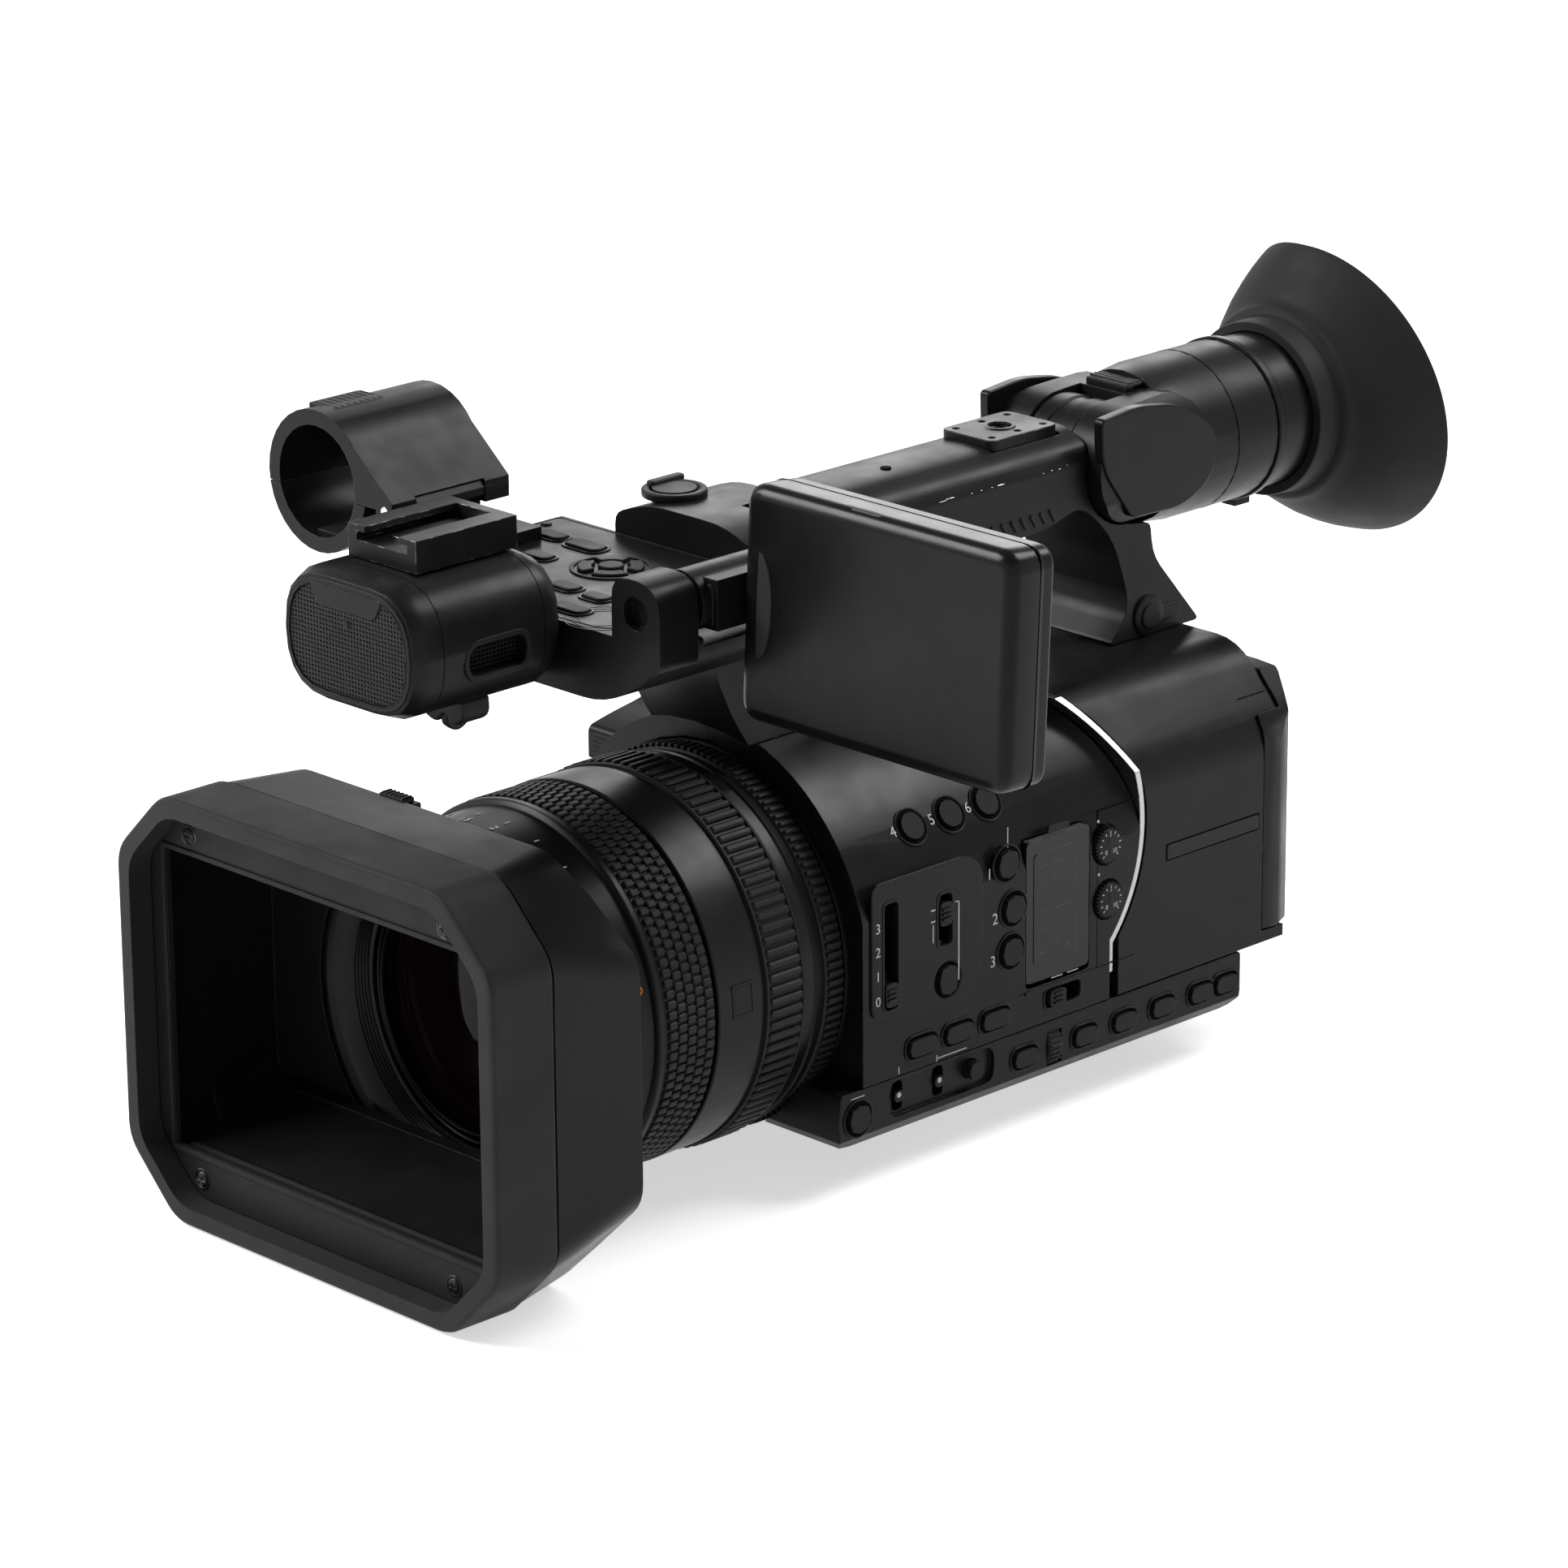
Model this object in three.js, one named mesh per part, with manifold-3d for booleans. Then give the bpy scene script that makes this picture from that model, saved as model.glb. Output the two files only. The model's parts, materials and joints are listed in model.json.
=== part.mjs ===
// Handheld three-ring camcorder with a top handle, a fold-out screen and a tilting viewfinder.
// Millimetres. +X is the operator's left, the lens looks along -Y, +Z is up.
// The origin is on the underside of the tripod plate, below the lens axis.
import * as THREE from 'three';
import { mergeVertices } from 'three/addons/utils/BufferGeometryUtils.js';
import Module from 'manifold-3d';

// ---------- driving dimensions ----------
const GAP = 0.3;                 // clearance between touching pieces
const PRESS = 0.8;               // travel of a push button

// lens
const AXIS_Z = 45.5;               // height of the lens axis
const BARREL_R = 47.6;           // barrel under the rings
const BARREL_BORE = 44;          // bore behind the front element
const BAND_R = 51;               // fixed bands between the rings
const FOCUS_R = 50.8;            // focus ring
const ZOOM_R = 51.8;               // zoom ring
const IRIS_R = 51.5;             // iris ring
const FOCUS_Y = [-121.5, -104];
const ZOOM_Y = [-87.3, -73.7];
const IRIS_Y = [-66, -59.5];
const BARREL_REAR = -54;
const GLASS_R = 39;              // front element
const REAR_LIP_R = 24;           // inner lip that carries the sensor block

// hood
const HOOD_FRONT = -197.4;
const HOOD_SEAM = -177;          // rubber band to shell
const HOOD_REAR = -148.6;
const BARREL_FRONT = HOOD_REAR - 2;   // the hood sits on the front end of the barrel
const HOOD_HALF_W = 70.8;
const HOOD_HALF_H = 57.3;
const HOOD_Z = 46.2;             // middle height of the hood
const HOOD_WALL = 3;
const HOOD_CORNER = 18;          // reach of the cut across each corner at the front
const HOOD_REAR_CORNER = 26;     // the same at the rear edge
const HOOD_ROUND = 5;            // rounding at both ends of each cut
const MASK_Y = -190;
const MASK_T = 2;
const WINDOW_HALF_W = 60;        // rectangular window in the mask
const WINDOW_HALF_H = 40;
const BLADE_T = 1.5;
const BLADE_LEN = 34.5;
const BLADE_TILT = 14;           // lean of the open shutter blades, degrees

// body
const BODY_HALF_W = 56;
const BODY_FRONT = -58;
const BODY_REAR = 104;
const BASE_FRONT = -68;
const BASE_REAR = 87;
const BASE_H = 16;               // height of the base tray
const DECK_Z = 97;               // top of the rear body at the middle
const SHELL = 3;                 // wall of the covers
const FRONT_R = 58;              // round front section about the lens axis
const ARC_R = 45;                // curved joint between front and rear bodies
const ARC_Y = 1;
const ARC_Z = 63;
const JOINT_LOW = 33;            // below this height the joint runs straight down
const TRIM_W = 2;                // bright trim strip on the joint
const TRAY_FLOOR = 5.5;          // inner floor of the base tray
const PLATE_T = 3;               // tripod plate
const SCREW_R = 4.8;             // three-eighths tripod screw
const SCREW_Y = -12;
const STUD_R = 2.4;              // anti-turn stud
const STUD_Y = 16;

// grip
const GRIP_OUT = -98;            // outermost face of the grip
const GRIP_FRONT = -70;
const GRIP_REAR = 66;
const GRIP_LOW = 8;
const GRIP_TOP = 72;
const STRAP_Y = [-22, 42];       // inner faces of the strap where it meets the grip
const STRAP_T = 5;
const STRAP_W = 42;
const STRAP_Z = 22;              // middle of the strap
const STRAP_SPACE = 20;          // room for a hand between grip and strap

// battery
const BATTERY_W = 38.4;
const BATTERY_H = 70.8;
const BATTERY_T = 40;
const BATTERY_X = -14;           // middle of the battery

// handle and control head
const HANDLE_HALF_W = 17;
const HANDLE_TOP = 158.5;
const HANDLE_UNDER = 134.5;
const HANDLE_REAR = 67.5;
const HEAD_FRONT = -129;
const HEAD_REAR = -66;
const HEAD_LEFT = 42;            // edge beside the screen hinge
const HEAD_RIGHT = -47;
const HEAD_TOP = 150;
const HEAD_LOW = 132;
const STEP_HALF_W = 26;
const STEP_REAR = -34;
const MIC_FRONT = -180;
const MIC_HALF_W = 25.6;
const MIC_HALF_H = 17.5;
const MIC_Z = 150;
const SHOE_HALF_W = 12.5;
const SHOE_Y = [-167, -134];
const SHOE_SLOT_W = 18.6;        // standard accessory shoe width
const SHOE_SLOT_H = 2.2;

// screen
const HINGE_X = 49.3;            // fold axis of the screen, along Y
const HINGE_Z = 157.4;
const KNUCKLE_R = 8.5;
const KNUCKLE_T = 13;
const ARM_Y = [-113.5, -79.5];
const LCD_X = [60, 150.5];
const LCD_T = 15;
const LCD_H = 60;
const LCD_Y = -96.5;             // tilt axis, along X
const LCD_TILT = 3;              // lean of the screen at rest, degrees

// viewfinder
const PIVOT_Y = 82;
const PIVOT_Z = 146.5;
const HUB_R = 15.8;
const HUB_HALF_W = 22;
const CHEEK_REAR = 113;          // rounded rear end of the cheeks
const LUG_HALF_W = 8;
const LUG_R = 7;
const PIVOT_PIN_R = 3;
const EVF_R = 22.3;
const EVF_Z = 145;
const TUBE_FRONT = 98;
const EVF_REAR = 137;
const COLLAR_R = 21.6;
const COLLAR_REAR = 162;
const CUP_RIM_R = 42.8;
const CUP_Y = 184;               // middle of the rim
const CUP_WING = 20;             // how far the rim's outer side reaches back past the middle
const CUP_SLANT = 0.25;          // the rim leans back towards its lower edge
const CUP_WALL = 2.4;

// microphone holder
const CLAMP_X = -50;
const CLAMP_Z = 174.5;
const CLAMP_R = 18.5;
const CLAMP_BORE = 14.5;
const CLAMP_Y = [-145, -106];
const CLAMP_PIN_X = -24.5;
const CLAMP_PIN_Z = 171.5;

// ---------- geometry helpers ----------
const wasm = await Module();
wasm.setup();

// A closed, outward-facing solid from any closed three.js geometry.
function solid(geometry) {
  const plain = geometry.index ? geometry.toNonIndexed() : geometry.clone();
  plain.deleteAttribute('normal');
  plain.deleteAttribute('uv');
  const merged = mergeVertices(plain, 1e-4);
  const points = Float32Array.from(merged.attributes.position.array);
  const faces = Uint32Array.from(merged.index.array);
  if (signedVolume(points, faces) < 0) {
    for (let i = 0; i < faces.length; i += 3) {
      [faces[i], faces[i + 1]] = [faces[i + 1], faces[i]];
    }
  }
  return new wasm.Manifold(new wasm.Mesh({ numProp: 3, vertProperties: points, triVerts: faces }));
}

function signedVolume(points, faces) {
  const a = new THREE.Vector3();
  const b = new THREE.Vector3();
  const c = new THREE.Vector3();
  let total = 0;
  for (let i = 0; i < faces.length; i += 3) {
    a.fromArray(points, 3 * faces[i]);
    b.fromArray(points, 3 * faces[i + 1]);
    c.fromArray(points, 3 * faces[i + 2]);
    total += a.dot(b.cross(c));
  }
  return total;
}

function box(x0, x1, y0, y1, z0, z1) {
  const shape = new THREE.BoxGeometry(x1 - x0, y1 - y0, z1 - z0);
  return solid(shape.translate((x0 + x1) / 2, (y0 + y1) / 2, (z0 + z1) / 2));
}

// A cylinder along 'x', 'y' or 'z' between two places on that axis.
function rod(axis, r, from, to, [p, q], sides = 24, endR = r) {
  const shape = new THREE.CylinderGeometry(endR, r, to - from, sides);
  const middle = (from + to) / 2;
  if (axis === 'x') {
    shape.rotateZ(-Math.PI / 2).translate(middle, p, q);
  } else if (axis === 'y') {
    shape.translate(p, middle, q);
  } else {
    shape.rotateX(Math.PI / 2).translate(p, q, middle);
  }
  return solid(shape);
}

// A ring or disc turned about an axis parallel to Y; the profile holds [radius, y] pairs.
function turned(profile, x, z, sides = 36) {
  const points = profile.map(([r, y]) => new THREE.Vector2(r, y));
  if (profile[0][0] > 0 || profile[profile.length - 1][0] > 0) {
    points.push(points[0].clone());
  }
  return solid(new THREE.LatheGeometry(points, sides).translate(x, 0, z));
}

// Extrude a shape: along x the shape holds (y, z), along y (x, z), along z (x, y).
function prism(axis, shape, from, to, bevel = 0, steps = 5) {
  const depth = to - from - 2 * bevel;
  const geometry = new THREE.ExtrudeGeometry(shape, {
    depth,
    curveSegments: steps,
    bevelEnabled: bevel > 0,
    bevelThickness: bevel,
    bevelSize: bevel,
    bevelOffset: -bevel,
    bevelSegments: 2,
  });
  const turn = new THREE.Matrix4();
  const [x, y, z] = [new THREE.Vector3(1, 0, 0), new THREE.Vector3(0, 1, 0), new THREE.Vector3(0, 0, 1)];
  if (axis === 'x') {
    turn.makeBasis(y, z, x).setPosition(from + bevel, 0, 0);
  } else if (axis === 'y') {
    turn.makeBasis(x, z, y.clone().negate()).setPosition(0, to - bevel, 0);
  } else {
    turn.setPosition(0, 0, from + bevel);
  }
  return solid(geometry.applyMatrix4(turn));
}

// A solid along Y between two outlines in X and Z that have as many points as each other.
function loft(first, last, from, to) {
  const rings = [first, last].map((shape) => {
    const points = shape.getPoints(4);
    return points[0].distanceTo(points[points.length - 1]) < 1e-6 ? points.slice(0, -1) : points;
  });
  const count = rings[0].length;
  const caps = THREE.ShapeUtils.triangulateShape(rings[0], []);
  const places = [from, to].flatMap((y, i) => rings[i].flatMap(({ x, y: z }) => [x, y, z]));
  const sides = rings[0].flatMap((_, i) => {
    const next = (i + 1) % count;
    return [i, next, count + i, next, count + next, count + i];
  });
  const faces = [
    ...sides,
    ...caps.flatMap(([a, b, c]) => [a, c, b]),
    ...caps.flatMap(([a, b, c]) => [count + a, count + b, count + c]),
  ];
  const geometry = new THREE.BufferGeometry();
  geometry.setAttribute('position', new THREE.Float32BufferAttribute(places, 3));
  geometry.setIndex(faces);
  return solid(geometry);
}

function polygon(points) {
  return new THREE.Shape(points.map(([a, b]) => new THREE.Vector2(a, b)));
}

// A polygon whose corners are rounded by r, or by a third number given with the corner.
// No corner takes more than its share of the shorter side next to it.
function rounded(points, r) {
  const shape = new THREE.Shape();
  const corners = points.map(([a, b]) => new THREE.Vector2(a, b));
  const count = points.length;
  corners.forEach((here, i) => {
    const before = corners[(i + count - 1) % count].clone().sub(here);
    const after = corners[(i + 1) % count].clone().sub(here);
    const reach = Math.min(points[i][2] ?? r, 0.48 * before.length(), 0.48 * after.length());
    const start = here.clone().add(before.setLength(reach));
    const end = here.clone().add(after.setLength(reach));
    if (i === 0) {
      shape.moveTo(start.x, start.y);
    } else {
      shape.lineTo(start.x, start.y);
    }
    shape.quadraticCurveTo(here.x, here.y, end.x, end.y);
  });
  shape.closePath();
  return shape;
}

function roundBox(a0, a1, b0, b1, r) {
  return rounded([[a0, b0], [a1, b0], [a1, b1], [a0, b1]], r);
}

const MATERIALS = {
  body: { color: 0x1b1b1c, roughness: 0.45, metalness: 0 },
  matt: { color: 0x232323, roughness: 0.75, metalness: 0 },
  rubber: { color: 0x2a2a29, roughness: 0.9, metalness: 0 },
  gloss: { color: 0x101011, roughness: 0.2, metalness: 0 },
  metal: { color: 0x8c8c8a, roughness: 0.35, metalness: 1 },
  chrome: { color: 0xd8d8d8, roughness: 0.1, metalness: 1 },
  glass: { color: 0x202a33, roughness: 0.05, metalness: 0 },
  board: { color: 0x1d4a2c, roughness: 0.6, metalness: 0 },
  fabric: { color: 0x1c1c1c, roughness: 0.95, metalness: 0 },
};

const camcorder = new THREE.Group();

function add(name, piece, material, group = camcorder) {
  const { vertProperties, triVerts, numProp } = piece.getMesh();
  const geometry = new THREE.BufferGeometry();
  const points = new Float32Array((vertProperties.length / numProp) * 3);
  for (let i = 0; i < points.length / 3; i += 1) {
    points.set(vertProperties.subarray(i * numProp, i * numProp + 3), i * 3);
  }
  geometry.setAttribute('position', new THREE.BufferAttribute(points, 3));
  geometry.setIndex(new THREE.BufferAttribute(Uint32Array.from(triVerts), 1));
  const mesh = new THREE.Mesh(geometry, new THREE.MeshStandardMaterial(MATERIALS[material]));
  mesh.name = name;
  group.add(mesh);
}

// ---------- lens ----------
function lens() {
  const lip = BARREL_BORE - GLASS_R - GAP;
  const glassBack = BARREL_FRONT + 16;
  const seatR = GLASS_R - 3;
  const flange = BAND_R + 0.5;
  add('lens_barrel', turned([
    [BARREL_R - 1, BARREL_FRONT],
    [BARREL_R - 1, HOOD_REAR + GAP],
    [BAND_R - 2, FOCUS_Y[0] - 3],
    [BAND_R - 0.5, FOCUS_Y[0] - GAP],
    [BARREL_R, FOCUS_Y[0] - GAP],
    [BARREL_R, FOCUS_Y[1] + GAP],
    [BAND_R, FOCUS_Y[1] + GAP],
    [BAND_R - 0.6, ZOOM_Y[0] - GAP],
    [BARREL_R, ZOOM_Y[0] - GAP],
    [BARREL_R, ZOOM_Y[1] + GAP],
    [BAND_R - 0.6, ZOOM_Y[1] + GAP],
    [BAND_R - 1, IRIS_Y[0] - GAP],
    [BARREL_R, IRIS_Y[0] - GAP],
    [BARREL_R, IRIS_Y[1] + GAP],
    [BAND_R, IRIS_Y[1] + GAP],
    [flange, BODY_FRONT + 1],
    [flange, BARREL_REAR],
    [REAR_LIP_R, BARREL_REAR],
    [REAR_LIP_R, BARREL_REAR - 3],
    [BARREL_BORE, BARREL_REAR - 3],
    [BARREL_BORE, glassBack + 4],
    [seatR, glassBack + 4],
    [seatR, glassBack + GAP],
    [BARREL_BORE - lip, glassBack + GAP],
    [BARREL_BORE - lip, BARREL_FRONT + 1],
    [BARREL_BORE + 1, BARREL_FRONT],
  ], 0, AXIS_Z), 'matt');

  ring('focus_ring', FOCUS_R, FOCUS_Y);
  ring('zoom_ring', ZOOM_R, ZOOM_Y);
  ring('iris_ring', IRIS_R, IRIS_Y);

  const bulge = 6;
  const steps = [1, 0.7, 0.4];
  const face = steps.map((s) => [GLASS_R * s, glassBack - 3 - bulge * (1 - s * s)]);
  add('front_element', turned([
    [0, glassBack],
    [GLASS_R, glassBack],
    ...face,
    [0, glassBack - 3 - bulge],
  ], 0, AXIS_Z, 48), 'glass');

  const tube = turned([
    [BARREL_BORE - GAP, -104],
    [BARREL_BORE - GAP, -96],
    [30, -88],
    [30, BARREL_REAR - 5],
    [24, BARREL_REAR - 5],
    [24, -92],
    [36, -104],
  ], 0, AXIS_Z, 24);
  add('zoom_lens_cell', tube, 'metal');

  const prismBlock = box(-24, 24, BARREL_REAR + GAP, -30, AXIS_Z - 22, AXIS_Z + 22)
    .add(rod('y', REAR_LIP_R + 4, BARREL_REAR + GAP, BARREL_REAR + 4, [0, AXIS_Z], 32));
  const port = rod('y', 15, -60, -40, [0, AXIS_Z], 24);
  add('sensor_block', prismBlock.subtract(port), 'metal');
}

function ring(name, r, [front, rear]) {
  const bore = BARREL_R + 0.4;
  add(name, turned([
    [bore, front],
    [r - 0.6, front],
    [r, front + 0.6],
    [r, rear - 0.6],
    [r - 0.6, rear],
    [bore, rear],
  ], 0, AXIS_Z), 'rubber');
}

// ---------- hood ----------
function hoodOutline(inset, corner = HOOD_CORNER) {
  const w = HOOD_HALF_W - inset;
  const h = HOOD_HALF_H - inset;
  const c = corner - inset * (2 - Math.SQRT2);
  const [low, high] = [HOOD_Z - h, HOOD_Z + h];
  return rounded([
    [-w, low + c], [c - w, low], [w - c, low], [w, low + c], [w, high - c], [w - c, high], [c - w, high], [-w, high - c],
  ], HOOD_ROUND);
}

// Part of the hood whose corners grow from the front towards the rear.
function hoodLoft(inset, from, to) {
  const corner = (y) => THREE.MathUtils.mapLinear(y, HOOD_SEAM, HOOD_REAR, HOOD_CORNER, HOOD_REAR_CORNER);
  return loft(hoodOutline(inset, corner(from)), hoodOutline(inset, corner(to)), from, to);
}

// The rear edge of the hood runs forward above and below the lens.
function hoodSlopes(ahead) {
  const rear = HOOD_REAR - ahead;
  return [1, -1].map((side) => prism('x', polygon([
    [rear, HOOD_Z + side * 34],
    [rear - 3, HOOD_Z + side * 46],
    [rear - 9, HOOD_Z + side * (HOOD_HALF_H + 1)],
    [rear - 9, HOOD_Z + side * 90],
    [rear + 9, HOOD_Z + side * 90],
    [rear + 9, HOOD_Z + side * 34],
  ]), -90, 90)).reduce((all, one) => all.add(one));
}

function hood() {
  const bandWall = 5;
  const lap = 4;                 // the shell runs this far inside the band
  const band = prism('y', hoodOutline(0), HOOD_FRONT, HOOD_SEAM, 1.5)
    .subtract(prism('y', hoodOutline(bandWall), HOOD_FRONT - 1, MASK_Y - GAP))
    .subtract(prism('y', hoodOutline(HOOD_WALL), MASK_Y - GAP - 0.01, HOOD_SEAM + 1));
  add('hood_band', band, 'rubber');

  const tail = prism('y', hoodOutline(HOOD_WALL + GAP), MASK_Y + MASK_T, HOOD_SEAM + lap);
  const inside = prism('y', hoodOutline(HOOD_WALL + 2.6), MASK_Y, HOOD_SEAM + lap)
    .add(hoodLoft(HOOD_WALL + 2.6, HOOD_SEAM + lap - 0.5, HOOD_REAR - HOOD_WALL).subtract(hoodSlopes(HOOD_WALL)));
  const shell = hoodLoft(0.6, HOOD_SEAM + GAP, HOOD_REAR)
    .subtract(hoodSlopes(0))
    .add(tail)
    .subtract(inside)
    .subtract(rod('y', BARREL_R - 1 + GAP, -170, -130, [0, AXIS_Z], 36));
  add('hood_shell', shell, 'body');

  const mask = prism('y', hoodOutline(HOOD_WALL + GAP), MASK_Y, MASK_Y + MASK_T - GAP)
    .subtract(box(-WINDOW_HALF_W, WINDOW_HALF_W, -200, -180, HOOD_Z - WINDOW_HALF_H, HOOD_Z + WINDOW_HALF_H));
  add('hood_mask', mask, 'matt');
  shutters();
}

// Two blades on hinges just outside the window; open, they lie back along the floor and ceiling.
function shutters() {
  const hingeY = MASK_Y + MASK_T + 2;
  const half = WINDOW_HALF_W - 2;
  for (const [name, side] of [['shutter_upper', 1], ['shutter_lower', -1]]) {
    const frame = new THREE.Group();
    frame.position.set(0, hingeY, HOOD_Z + side * (WINDOW_HALF_H + 1));
    frame.rotation.x = -side * THREE.MathUtils.degToRad(BLADE_TILT);
    camcorder.add(frame);
    const blade = box(-half, half, 0, BLADE_LEN, -BLADE_T / 2, BLADE_T / 2)
      .add(rod('x', 1.4, -half, half, [0, 0], 12));
    add(name, blade, 'matt', frame);
  }
}

// ---------- body ----------
// Outline of the rear body in X and Z: flat sides, sloped shoulders and a flat top.
function rearProfile(inset, low) {
  const w = BODY_HALF_W - inset;
  const t = DECK_Z - inset;
  return rounded([
    [-w, low, 0.5], [w, low, 0.5], [w, t - 20, 8], [w - 18, t, 8], [18 - w, t, 8], [-w, t - 20, 8],
  ], 1);
}

// Outline of the front body: flat sides under a round top that follows the lens.
function frontProfile(inset, low) {
  const w = BODY_HALF_W - inset;
  const r = FRONT_R - inset;
  const rise = Math.atan2(Math.sqrt(r * r - w * w), w);
  const shape = new THREE.Shape();
  shape.moveTo(-w, low);
  shape.lineTo(w, low);
  shape.absarc(0, AXIS_Z, r, rise, Math.PI - rise, false);
  shape.closePath();
  return shape;
}

const COVER_LOW = BASE_H + GAP;
const WALL_X = BODY_HALF_W - SHELL;       // inner face of the side covers
const BASE_WALL = 6;                      // side wall of the base tray
const FAR = 300;                          // longer than any piece that a cutter passes through

// Everything ahead of the curved joint, grown towards the rear by the given gap.
function aheadOfJoint(grow) {
  const radius = ARC_R + grow;
  const straight = ARC_Y + Math.sqrt(radius ** 2 - (ARC_Z - JOINT_LOW) ** 2);
  return rod('x', radius, -FAR, FAR, [ARC_Y, ARC_Z], 72)
    .add(box(-FAR, FAR, -FAR, ARC_Y, -FAR, FAR))
    .add(box(-FAR, FAR, -FAR, straight, -FAR, JOINT_LOW));
}

// Key tops on the left side as [y, z] of each, with the width and height of a top,
// which a top can give for itself.
const KEY_OUT = 1.2;
const KEY_CLEAR = 0.35;
const KEYS = {
  assign_keys: { tops: [[-5.3, 64.2], [-2.8, 51.3], [-3.6, 39.6]], size: [7.4, 7.4], bar: 48 },
  mode_keys: { tops: [[-36.8, 22.4], [-23.3, 22.4], [-9.6, 22.4]], size: [10, 4.6], bar: 48 },
  menu_keys: { tops: [[40.1, 8.6], [55.2, 8.6], [70.4, 8.6], [80.6, 8.6]], size: [8.6, 4.6], bar: 45 },
  search_keys: { tops: [[-17.2, 10.2, 5, 5], [1.8, 8.6], [24.8, 8.6]], size: [8.6, 4.6], bar: 39 },
  iris_button: { tops: [[-60, 8.6]], size: [7.4, 7.4], bar: 51 },
  push_auto_button: { tops: [[-27.6, 38.2]], size: [6.4, 8], bar: 49 },
};
const KEY_BAR_T = 2;

// Slide switches: place of the knob, its slot in Y and Z, and how far the foot reaches in.
const SLIDERS = {
  nd_switch: { at: [-48.5, 39.5], size: [4.4, 6.4], slot: [-51, -46, 35.5, 64.5] },
  focus_switch: { at: [-28.7, 56.6], size: [4.4, 6.4], slot: [-31.2, -26.2, 48, 62] },
  gain_switch: { at: [-44.3, 10.2], size: [3.4, 3], slot: [-46.3, -42.3, 6, 14.4] },
  white_switch: { at: [-29.3, 10.2], size: [3.4, 3], slot: [-31.3, -27.3, 6, 14.4] },
  audio_mode_switch: { at: [13.6, 22.6], size: [6, 4.4], slot: [9.6, 23, 20, 25.2] },
};
const RECESS = [-49, -9.5, 5, 15.2];      // recess around the gain and white switches
const RECESS_DEEP = 1.5;

function keyHole([y, z, ownW, ownH], size, from, to, clear) {
  const [w, h] = ownW ? [ownW, ownH] : size;
  const r = Math.min(w, h) / 2 + clear - 0.01;
  const shape = roundBox(y - w / 2 - clear, y + w / 2 + clear, z - h / 2 - clear, z + h / 2 + clear, r);
  return prism('x', shape, from, to, 0, 2);
}

function keyHoles(names) {
  return names.flatMap((name) => KEYS[name].tops.map((top) => (
    keyHole(top, KEYS[name].size, KEYS[name].bar - 2, BODY_HALF_W + 5, KEY_CLEAR)
  ))).reduce((all, one) => all.add(one));
}

// Key tops that share one moulded bar behind the wall.
function keys() {
  for (const [name, { tops, size, bar }] of Object.entries(KEYS)) {
    const stems = tops.map((top) => keyHole(top, size, bar, BODY_HALF_W + KEY_OUT, 0));
    const ys = tops.map(([y]) => y);
    const zs = tops.map(([, z]) => z);
    const carrier = box(bar, bar + KEY_BAR_T, Math.min(...ys) - 2, Math.max(...ys) + 2,
      Math.min(...zs) - 1.8, Math.max(...zs) + 1.8);
    add(name, stems.reduce((all, one) => all.add(one)).add(carrier), 'matt');
  }
}

function sliderSlots(names, from) {
  return names.map((name) => {
    const [y0, y1, z0, z1] = SLIDERS[name].slot;
    return prism('x', roundBox(y0, y1, z0, z1, 1.6), from, BODY_HALF_W + 5, 0, 2);
  }).reduce((all, one) => all.add(one));
}

function sliders() {
  for (const [name, { at: [y, z], size: [w, h] }] of Object.entries(SLIDERS)) {
    const inBase = z < BASE_H;
    const wall = inBase ? BODY_HALF_W - BASE_WALL : WALL_X;
    const top = inBase ? BODY_HALF_W - RECESS_DEEP + 1 : BODY_HALF_W + 1.2;
    const knob = prism('x', roundBox(y - w / 2, y + w / 2, z - h / 2, z + h / 2, 1.2), wall - 1, top, 0, 2);
    const foot = box(wall - 2.2, wall - GAP, y - w / 2 - 1.2, y + w / 2 + 1.2, z - h / 2 - 0.8, z + h / 2 + 0.8);
    add(name, knob.add(foot), 'matt');
  }
}

// Keys on the round shoulder, set out along Y on a line that stands square to the surface.
const SHOULDER_ANGLE = 35;
const SHOULDER_KEYS_Y = [-32, -18, -4.5];

function shoulderRod(r, from, to, y, sides = 14) {
  const turn = new THREE.Matrix4().makeTranslation(0, y, AXIS_Z)
    .multiply(new THREE.Matrix4().makeRotationY(-THREE.MathUtils.degToRad(SHOULDER_ANGLE)))
    .multiply(new THREE.Matrix4().makeRotationZ(-Math.PI / 2));
  const shape = new THREE.CylinderGeometry(r, r, to - from, sides).translate(0, (from + to) / 2, 0);
  return solid(shape.applyMatrix4(turn));
}

function shoulderKeys() {
  const bar = FRONT_R - 9;
  const tops = SHOULDER_KEYS_Y.map((y) => shoulderRod(3.7, bar, FRONT_R + 0.9, y));
  const along = new THREE.BoxGeometry(KEY_BAR_T, SHOULDER_KEYS_Y[2] - SHOULDER_KEYS_Y[0], 4);
  along.translate(bar + KEY_BAR_T / 2, (SHOULDER_KEYS_Y[0] + SHOULDER_KEYS_Y[2]) / 2, 0);
  along.rotateY(-THREE.MathUtils.degToRad(SHOULDER_ANGLE)).translate(0, 0, AXIS_Z);
  add('shoulder_keys', tops.reduce((all, one) => all.add(one)).add(solid(along)), 'matt');
}

// Audio door, level dials and menu wheel.
const DOOR = { y: [2, 26.5], z: [27, 68], t: 2.6, pin: [54.5, 29.4] };
const DIAL_R = 5.2;
const DIALS = { level_dial_1: [33, 59.9], level_dial_2: [33.4, 44.6] };
const WHEEL = { x: 50.4, y: 13.3, z: 8.4, r: 7, t: 5 };

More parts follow.
